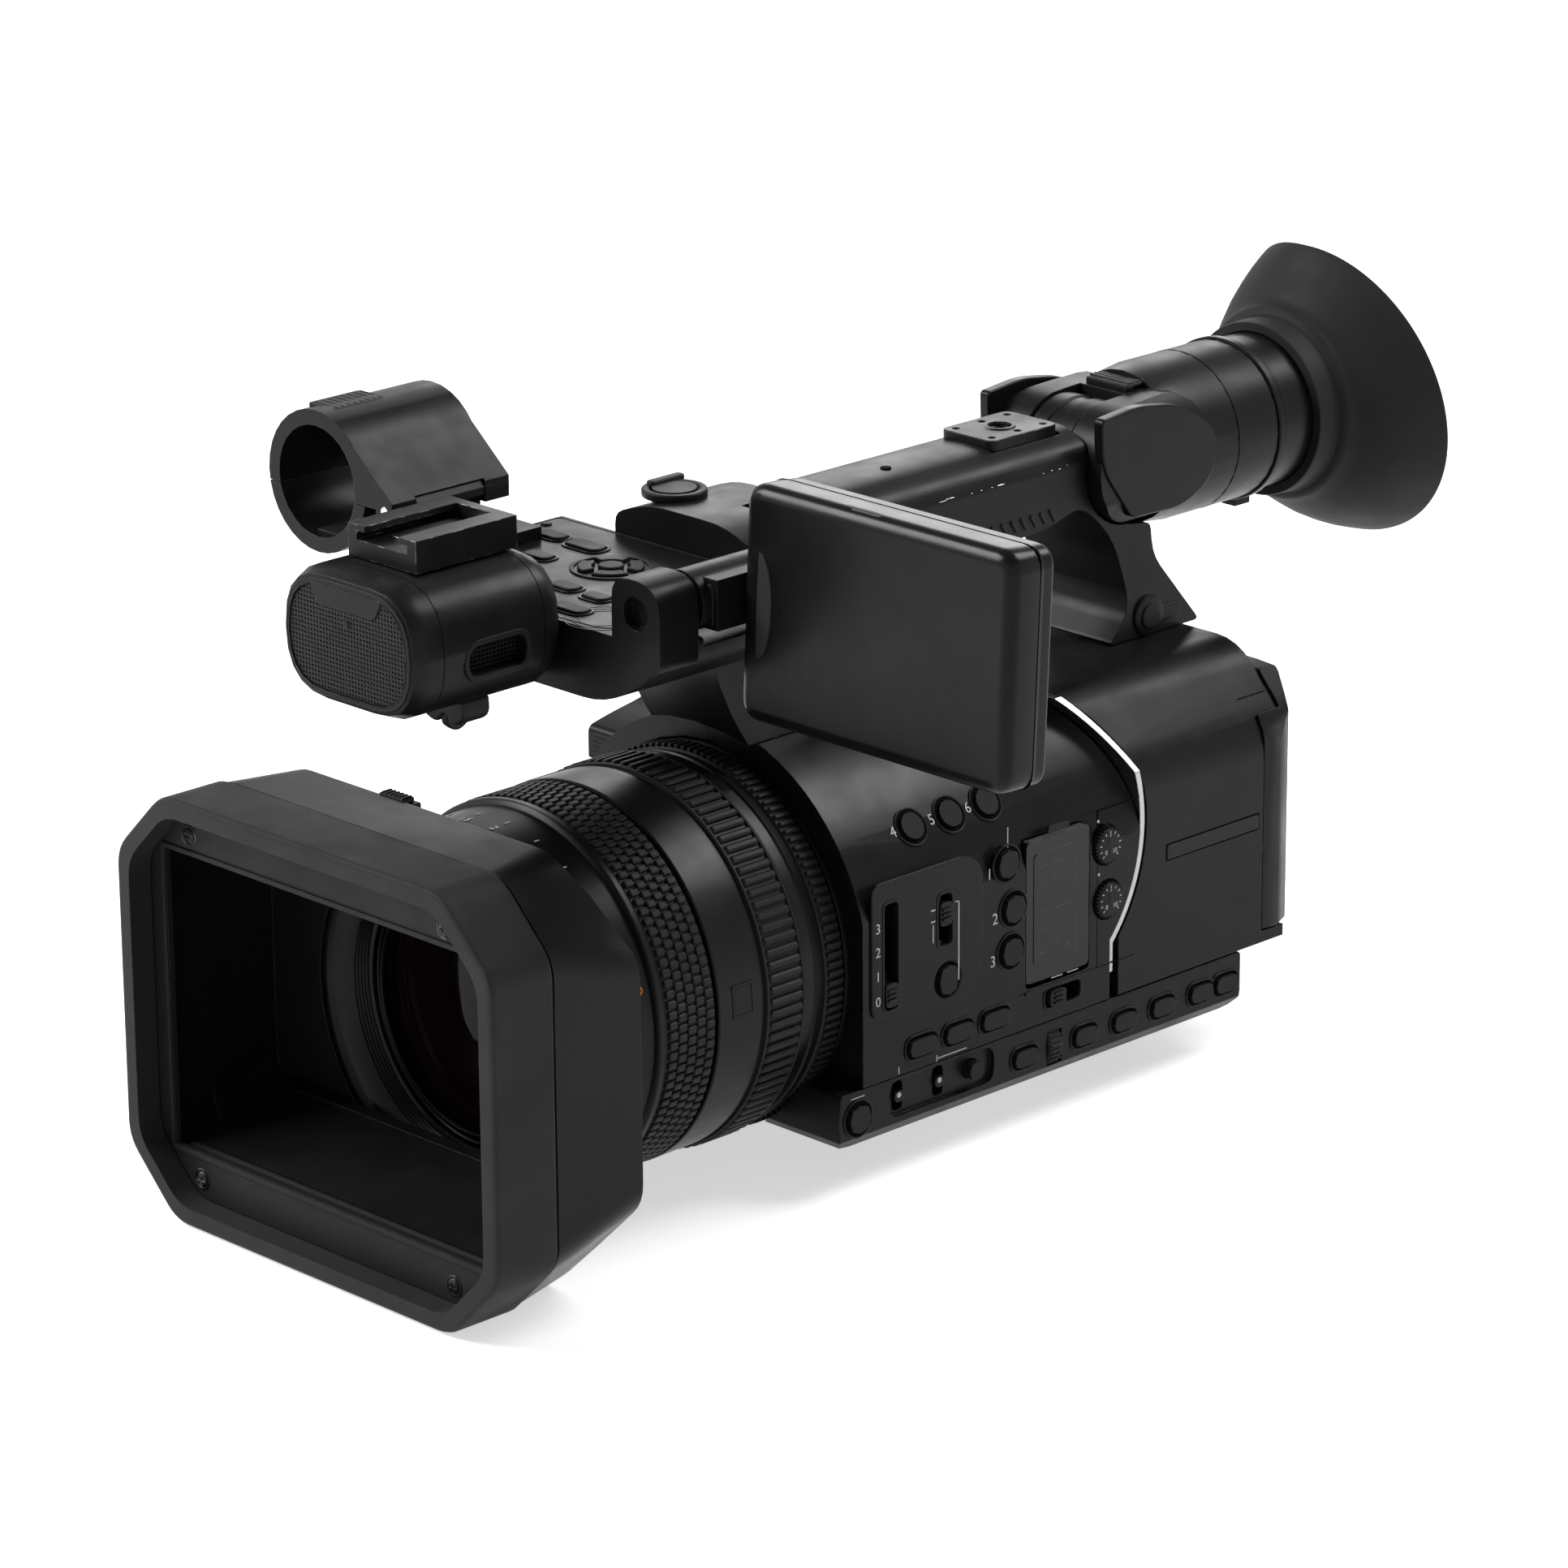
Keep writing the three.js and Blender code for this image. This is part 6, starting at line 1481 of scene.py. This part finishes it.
@dataclass
class Screen(Assembly):
    """The fold-out screen, its arm and its panel, made upright about the tilt axis and then leaned."""

    name: str = "screen"
    axis: Point = (-96.5, 157.4)
    tilt: float = -3.0
    wide: Point = (60.0, 150.5)
    half_height: float = 30.0
    half_thick: float = 7.5

    def build(self) -> None:
        """Makes and dresses the screen."""
        self.smoothed(SHELL, 30, "screen_arm")
        self.lean(self.case(), "screen_case_shell", GLOSS, "screen_case")
        self.keep(DISPLAY, "screen_glass")
        self.lean(self.bezel(), "screen_bezel", MATT, slot="gloss_plastic")
        self.lean(self.keys(), "screen_keys", MATT)
        # The thumb mark takes the paler band rubber: painted sheen, its lighter colour standing in for the
        # light its dished face catches.
        self.lean(self.thumb_mark(), "screen_thumb_mark", BAND, slot="gloss_plastic")
        self.lean(self.seam(), "screen_seam", PAINTED_SHADE)
        self.dress(self.arm_cap(), "screen_arm_cap", MATT, "screen_arm_body")

    def lean(self, piece: Piece, name: str, finish: Finish, stands_for: str = "", slot: str = "") -> None:
        """Turns a piece made square to the axes to the screen's lean, and dresses it."""
        leaned = placed(piece, Vector((0, *self.axis)), self.tilt, Axis.X)
        self.dress(leaned, name, finish, "screen_body", stands_for, slot)

    def inset(self, left: float, right: float, edge: float, radius: float) -> Loop:
        """A rounded rectangle this far inside the screen's left, right and other two edges."""
        x0, x1 = self.wide
        return rect(x0 + left, x1 - right, edge - self.half_height, self.half_height - edge, radius)

    def case(self) -> Piece:
        """The case: a back with full, rounded edges and a frame that the display sits in."""
        back = plate("back", Axis.Y, [self.inset(0, 0, 0, 6)], -self.half_thick, 5.2, 3.4)
        loops = [self.inset(0.3, 0.3, 0.3, 5.6), self.inset(8.2, 6.2, 6.2, 0.6)]
        return join([back, plate("rim", Axis.Y, loops, 1.0, self.half_thick - 0.05, 1.2)])

    def bezel(self) -> Piece:
        """The frame round the display, with its corners rounded."""
        loops = [self.inset(3, 3, 3, 3), self.inset(9.5, 7.5, 7.5, 1.5)]
        return plate("bezel", Axis.Y, loops, self.half_thick - 0.6, self.half_thick - 0.02, 0.2)

    def keys(self) -> Piece:
        """Two keys let into the top edge, and the catch beside one of them."""
        x0, x1 = self.wide
        top = self.half_height
        keys = (((x1 - 24, x1 - 11, -1.9, 1.9), 1.8, 0.6, 0.02),
                ((x0 + 32, x0 + 44, -4.4, -1.2), 0.8, 0.6, 0.02),
                ((x0 + 35, x0 + 45, -6.0, -2.0), 0.8, 1.2, 0.3))
        return join([plate("key", Axis.Z, [rect(*span, radius)], top - foot, top - head, 0.2)
                     for span, radius, foot, head in keys])

    def thumb_mark(self) -> Piece:
        """The lens-shaped thumb mark near the hinge, bowed out at both sides."""
        middle, half_width, half_height = 66.4, 4.6, 13.4
        turns = [math.pi * i / 16 for i in range(17)]
        right = [(middle + half_width * math.sin(t), half_height * math.cos(t)) for t in turns]
        left = [(middle - 0.5 * math.sin(t), -half_height * math.cos(t)) for t in turns[1:-1]]
        return plate("mark", Axis.Y, [right + left], -self.half_thick - 0.35, -self.half_thick + 0.8, 0.3)

    def seam(self) -> Piece:
        """The parting line round the screen's edge, as a near-black band of painted shade standing in for the
        shade in the joint.
        """
        loops = [self.inset(-0.02, 0.005, -0.02, 5), self.inset(0.4, 0.4, 0.4, 4.8)]
        return plate("seam", Axis.Y, loops, 2.2, 2.45, 0.01)

    def arm_cap(self) -> Piece:
        """Screw cap and step on the hinge arm."""
        face = box_of("screen_arm")[0].y
        cap = plate("cap", Axis.Y, [rect(51.5, 57.5, 152.2, 162.4, 1)], face + 2.6, face + 3.4, 0.2)
        return join([cap, peg("pin", Axis.Y, (54.6, 157.2), 1.5, face + 2.2, face + 3, 0.2, 20)])


@dataclass
class Viewfinder(Assembly):
    """The tilting viewfinder, its collar, lens, lever and eyecup.

    The flare starts at flare_start. The wing is how far the cup reaches back on the right, and
    the slope how much further it reaches low down.
    """

    name: str = "viewfinder"
    middle: Point = (0.0, 145.0)
    pivot: Point = (82.0, 146.5)
    flare_start: float = 162
    flare_length: float = 22
    flare_radius: float = 42.8
    wing: float = 20
    slope: float = 0.25

    def build(self) -> None:
        """Makes and dresses the viewfinder."""
        self.smoothed(SHELL, 30, "viewfinder_body")
        self.dress(self.collar(), "collar", SATIN, "viewfinder_unit", "viewfinder_collar", "matt_plastic")
        self.keep(GLASS, "eyepiece_lens")
        self.keep(MATT, "diopter_lever")
        self.dress(self.cup(), "cup", CUP, "eyecup_body", "eyecup")
        for side, label in ((1, "left"), (-1, "right")):
            self.dress(self.side_panel(side), f"viewfinder_panel_{label}", SIDE, "viewfinder_unit")
        # A near-black ring of painted shade round the tube, standing in for the shade in its joint.
        seam = lathe("seam", [(22.2, 121.0), (22.34, 121.0), (22.34, 121.25), (22.2, 121.25)], self.middle,
                     96)
        self.dress(seam, "viewfinder_seam", PAINTED_SHADE, "viewfinder_unit")
        self.dress(self.hinge_barrel(), "hinge_barrel", SHELL)
        self.dress(self.notch_cap(), "viewfinder_notch_cap", SHELL, "viewfinder_unit")

    def collar(self) -> Piece:
        """The stepped collar that the eyecup turns on."""
        low, high = box_of("viewfinder_collar")
        profile = [(16.3, low.y), (19, low.y), (19, 137.3), (22.6, 137.3), (22.9, 137.7), (22.9, 139.6),
                   (22.5, 140.2), (21.7, 140.4), (21.6, 143), (21.6, high.y), (17.6, high.y), (17.6, 137),
                   (16.3, 137)]
        return lathe("collar", profile, self.middle, 96)

    def side_panel(self, side: int) -> Piece:
        """The raised cheek panel with its rounded rear end."""
        outline = [(65.8, 162.6, 1.5), (79.7, 164.0, 4), (97.5, 161.4, 9), (111.8, 152.0, 9), (111.0, 139, 8),
                   (99, 132.4, 6), (78.0, 133.2, 2), (66.2, 149.0, 6)]
        low, high = sorted((side * 19.4, side * 22.7))
        return plate("panel", Axis.X, [round_loop(outline, 3, 6)], low, high, 0.5)

    def notch_cap(self) -> Piece:
        """The ribbed cap between the cheeks, where the tube begins."""
        cap = block("cap", (-7.8, 93.4, 157.4), (7.8, 99.4, 164.8), 0.9)
        lip = block("lip", (-7.8, 91.6, 162.2), (7.8, 99.0, 164.6), 0.8)
        rib = block("rib", (-7.4, 93.0, 164.3), (7.4, 93.7, 165.1), 0.2)
        return join([cap, lip, copies(rib, (0, 1.7, 0), 4)])

    def hinge_barrel(self) -> Piece:
        """The barrel of the handle's lug, which fills the gap between the cheeks."""
        profile = [(7.2, -8.0), (14.6, -8.0), (15.2, -7.4), (15.2, -2.6), (14.7, -2.2), (14.7, 2.2),
                   (15.2, 2.6), (15.2, 7.4), (14.6, 8.0), (7.2, 8.0)]
        return lathe("barrel", profile, self.pivot, 64, Axis.X)

    def cup(self) -> Piece:
        """The flared rubber cup with one wing, pressed from a turned shape."""
        profile = [(21.9, 152), (24.3, 152), (24.6, 152.6), (24.7, 158.2), (25.3, 159.2), (26.7, 159.9),
                   (27.6, 161.2), (27.9, 162.8), (29.6, 164.9), (32.6, 167.8), (35.6, 171.2), (38.2, 174.8),
                   (40.3, 178.2), (41.9, 181.4), (42.7, 183.2), (42.75, 183.7), (42.4, 183.95), (41.9, 183.9),
                   (41.0, 182.2), (39.0, 178.6), (36.4, 174.8), (33.4, 171.4), (30.4, 168.8), (27.0, 166.8),
                   (24.0, 165.6), (20.6, 165.0), (20.6, 162.3), (21.9, 162.3)]
        piece = lathe("cup", profile, self.middle, 128)
        for vertex in piece.data.vertices:
            x, y, z = vertex.co / MM
            share = max(0.0, (y - self.flare_start) / self.flare_length)
            wing = self.wing * max(0.0, -x / self.flare_radius) ** 1.5
            vertex.co.y += share * (wing - self.slope * (z - self.middle[1])) * MM
        return smooth(piece)


@dataclass
class Grip(Assembly):
    """The right-hand grip with its strap, sockets, rocker and record button."""

    name: str = "grip"
    rocker: Place = (-74.0, 16.0, 69.0)
    sockets: tuple[Point, ...] = ((-71.0, 44.2), (-71.0, 22.4))
    stitch_pitch: float = 2.4

    def build(self) -> None:
        """Makes and dresses the grip."""
        self.smoothed(SHELL, 30, "grip_housing")
        self.smoothed(MATT, 30, "grip_zoom_rocker")
        self.smoothed(RED, 30, "grip_record_button")
        self.smoothed(MATT, 30, "power_switch", "mic_sockets")
        self.dress(self.rocker_ribs(), "rocker_ribs", RUBBER, "grip_zoom_rocker_body")
        band = [self.band_path(3.6) + self.band_path(1.4)[::-1]]
        self.dress(plate("band", Axis.Z, band, 3.5, 40.5, 0.5), "strap_band", WEBBING,
                   stands_for="hand_strap")
        self.dress(self.strap_pad(), "strap_pad", LEATHER)
        self.dress(self.stitches(), "strap_stitches", WHITE, slot="webbing")
        self.dress(self.anchors(), "strap_anchors", BLACK_METAL)
        self.dress(self.contacts(), "socket_contacts", STEEL)
        self.dress(self.socket_rims(), "socket_rims", BLACK_METAL)
        self.dress(self.grip_pad(), "grip_pad", RUBBER)

    def rocker_ribs(self) -> Piece:
        """Ribs across both ends of the zoom rocker."""
        x, y, z = self.rocker
        rows = []
        for side in (-1, 1):
            near, far = sorted((y + side * 13.6, y + side * 12.8))
            rib = block("rib", (x - 4.4, near, z + 3.4), (x + 4.4, far, z + 4.3), 0.2)
            rows.append(copies(rib, (0, -1.9 * side, -0.2), 4))
        return join(rows)

    def band_path(self, out: float) -> Loop:
        """The strap's path in X and Y, this far outside its inner face."""
        bend, steps = 16, 8
        corners = [(-98.6, -22 - out), (-118 - out, -8 - out), (-118 - out, 28 + out), (-98.6, 42 + out)]
        bends = [corner_arc(*corners[i:i + 3], bend, steps) for i in (0, 1)]
        return [corners[0], *bends[0], *bends[1], corners[3]]

    def strap_pad(self) -> Piece:
        """The padded backing inside the band, rounded towards the hand, and the tab outside it."""
        inner = self.band_path(1.4)[2:-2] + self.band_path(0.1)[::-1][2:-2]
        outer = self.band_path(4.9)[4:-4] + self.band_path(3.5)[::-1][4:-4]
        return join([plate("pad", Axis.Z, [inner], 1.6, 42.4, 0.6),
                     plate("tab", Axis.Z, [outer], 6, 38, 0.6)])

    def stitches(self) -> Piece:
        """Rows of stitches along both edges of the outer tab."""
        path = self.band_path(4.93)[4:-4]
        made = []
        for start, end in zip(path, path[1:]):
            run = Vector((*end, 0)) - Vector((*start, 0))
            count = max(1, int(run.length / self.stitch_pitch))
            for i in range(count):
                spot = Vector((*start, 0)) + run * ((i + 0.5) / count)
                for z in (8.2, 35.8):
                    stitch = block("stitch", (-0.75, -0.07, -0.16), (0.75, 0.07, 0.16), 0.05, 1)
                    turn = math.degrees(math.atan2(run.y, run.x))
                    made.append(placed(stitch, spot + Vector((0, 0, z)), turn, Axis.Z))
        return join(made)

    def anchors(self) -> Piece:
        """The metal loops that hold the strap's ends."""
        made = []
        for y in (-25.4, 45.4):
            loops = [rect(y - 3.4, y + 3.4, 2.2, 41.8, 2.4), rect(y - 2.0, y + 2.0, 3.8, 40.2, 1.4)]
            made.append(plate("loop", Axis.X, loops, -101.4, -99.2, 0.6))
        return join(made)

    def contacts(self) -> Piece:
        """Three pins at the bottom of each microphone socket."""
        made = []
        for x, z in self.sockets:
            for turn in (math.radians(degrees) for degrees in (90, 210, 330)):
                spot = (x + 4.2 * math.cos(turn), z + 4.2 * math.sin(turn))
                made.append(peg("pin", Axis.Y, spot, 1.0, -60.5, -56.2, 0.3, 16))
        return join(made)

    def socket_rims(self) -> Piece:
        """Round metal rims of the sockets, with their latch tabs."""
        made = []
        for x, z in self.sockets:
            made.append(hoop("rim", Axis.Y, (x, z), 10.6, 9.1, -72.6, -71.6, 0.3))
            made.append(plate("latch", Axis.Y, [rect(x - 2.2, x + 2.2, z + 9.2, z + 10.9, 0.5)], -73.0, -72.2,
                              0.2))
        return join(made)

    def grip_pad(self) -> Piece:
        """The rubber pad with fine ribs under the fingers."""
        pad = plate("pad", Axis.Z, [rect(-94, -64, -20, 48, 6)], 7.3, 8.2, 0.2)
        return join([pad, copies(block("rib", (-92, -16, 7.0), (-66, -15, 7.6), 0.2), (0, 3.2, 0), 19)])


# ---------- the studio ----------
@dataclass
class Studio:
    """The floor, the light and the camera.

    Each lamp has its place in metres, the length of its side in metres and its power in watts.
    Glow is the surround's strength where it only lights, and ceiling its strength overhead.
    """

    camera_at: Place = (1141.46, -1143.59, 612.95)
    azimuth: float = 45.734
    elevation: float = 18.521
    roll: float = -0.409
    focal_length: float = 147.42
    floor_size: float = 14
    floor_gap: float = 0.4
    floor_grey: float = 0.85
    floor_glow: float = 0.6
    glow: float = 0.2
    ceiling: float = 0.2
    target: Place = (0.02, -0.02, 0.08)
    lamps: tuple[tuple[str, Place, float, float], ...] = (
        ("rear", (-0.85, 0.95, 0.62), 0.5, 2.5), ("top", (0.35, 0.7, 1.0), 0.55, 10),
        ("front", (-0.75, -0.75, 0.95), 0.6, 18))

    def build(self) -> None:
        """Makes the floor, the sky, the lamps and the camera."""
        self.floor()
        self.sky()
        for lamp in self.lamps:
            self.lamp(*lamp)
        self.camera()

    def camera(self) -> None:
        """The camera, at the height and turn that the object is seen from."""
        a, e, r = (math.radians(v) for v in (self.azimuth, self.elevation, self.roll))
        back = Vector((math.sin(a) * math.cos(e), -math.cos(a) * math.cos(e), math.sin(e)))
        side = Vector((math.cos(a), math.sin(a), 0))
        rise = back.cross(side)
        right = side * math.cos(r) + rise * math.sin(r)
        up = rise * math.cos(r) - side * math.sin(r)
        data = bpy.data.cameras.new("camera")
        data.sensor_width = 36
        data.lens = self.focal_length
        data.clip_start, data.clip_end = 0.05, 50
        rig = linked(bpy.data.objects.new("camera", data))
        turn = Matrix((right, up, back)).transposed().to_4x4()
        rig.matrix_world = Matrix.Translation(Vector(self.camera_at) * MM) @ turn
        bpy.context.scene.camera = rig

    def lamp(self, name: str, at: Place, size: float, power: float) -> None:
        """A square soft light that faces the camcorder."""
        data = bpy.data.lights.new(name, "AREA")
        data.size = size
        data.energy = power
        lamp = linked(bpy.data.objects.new(name, data))
        lamp.location = at
        lamp.rotation_euler = (Vector(self.target) - Vector(at)).to_track_quat("-Z", "Y").to_euler()

    def seen(self, tree: bpy.types.NodeTree) -> Socket:
        """One where the camera sees a surface directly, in a reflection or through glass."""
        rays = tree.nodes.new("ShaderNodeLightPath")
        total = rays.outputs["Is Camera Ray"]
        for kind in ("Is Glossy Ray", "Is Transmission Ray"):
            more = tree.nodes.new("ShaderNodeMath")
            more.operation = "MAXIMUM"
            tree.links.new(total, more.inputs[0])
            tree.links.new(rays.outputs[kind], more.inputs[1])
            total = more.outputs[0]
        return total

    def sky(self) -> None:
        """A white surround under a darker ceiling, seen at full strength, which lights more softly."""
        world = bpy.data.worlds.new("surround")
        bpy.context.scene.world = world
        world.use_nodes = True
        tree = world.node_tree
        background = tree.nodes["Background"]
        background.inputs["Color"].default_value = (1, 1, 1, 1)
        way, split, fall, level = (tree.nodes.new(f"ShaderNode{kind}") for kind in
                                   ("TexCoord", "SeparateXYZ", "MapRange", "MapRange"))
        tree.links.new(way.outputs["Generated"], split.inputs[0])
        tree.links.new(split.outputs["Z"], fall.inputs[0])
        for socket, value in (("From Min", 0.1), ("From Max", 0.75), ("To Min", 1.0),
                              ("To Max", self.ceiling)):
            fall.inputs[socket].default_value = value
        tree.links.new(self.seen(tree), level.inputs[0])
        level.inputs["To Min"].default_value = self.glow
        tree.links.new(fall.outputs[0], level.inputs["To Max"])
        tree.links.new(level.outputs[0], background.inputs["Strength"])

    def floor(self) -> None:
        """A plain pale floor just under the lowest point, which keeps the shadow."""
        low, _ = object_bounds()
        deselect()
        bpy.ops.mesh.primitive_plane_add(size=self.floor_size, location=(0, 0, low.z - self.floor_gap * MM))
        piece = bpy.context.object
        piece.name = "floor"
        made = bpy.data.materials.new("pale floor")
        made.use_nodes = True
        tree = made.node_tree
        shader = tree.nodes["Principled BSDF"]
        for socket, value in (("Base Color", (*[self.floor_grey] * 3, 1)), ("Roughness", 0.9),
                              ("Specular IOR Level", 0.0), ("Emission Color", (1, 1, 1, 1))):
            shader.inputs[socket].default_value = value
        level = tree.nodes.new("ShaderNodeMath")
        level.operation = "MULTIPLY"
        tree.links.new(self.seen(tree), level.inputs[0])
        level.inputs[1].default_value = self.floor_glow
        tree.links.new(level.outputs[0], shader.inputs["Emission Strength"])
        piece.data.materials.append(made)
        piece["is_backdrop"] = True


def main() -> None:
    """Builds the studio and every sub-assembly in turn."""
    logging.basicConfig(level=logging.INFO, format="%(message)s")
    bpy.context.scene.view_settings.view_transform = "Standard"
    Studio().build()
    for assembly in (Hood(), Lens(), Body(), LeftControls(), Handle(), Head(), Screen(), Viewfinder(),
                     Grip()):
        assembly.build()
        log.info("%s: %d pieces", assembly.name, len(assembly.made))
    deselect()


if __name__ == "__main__":
    main()
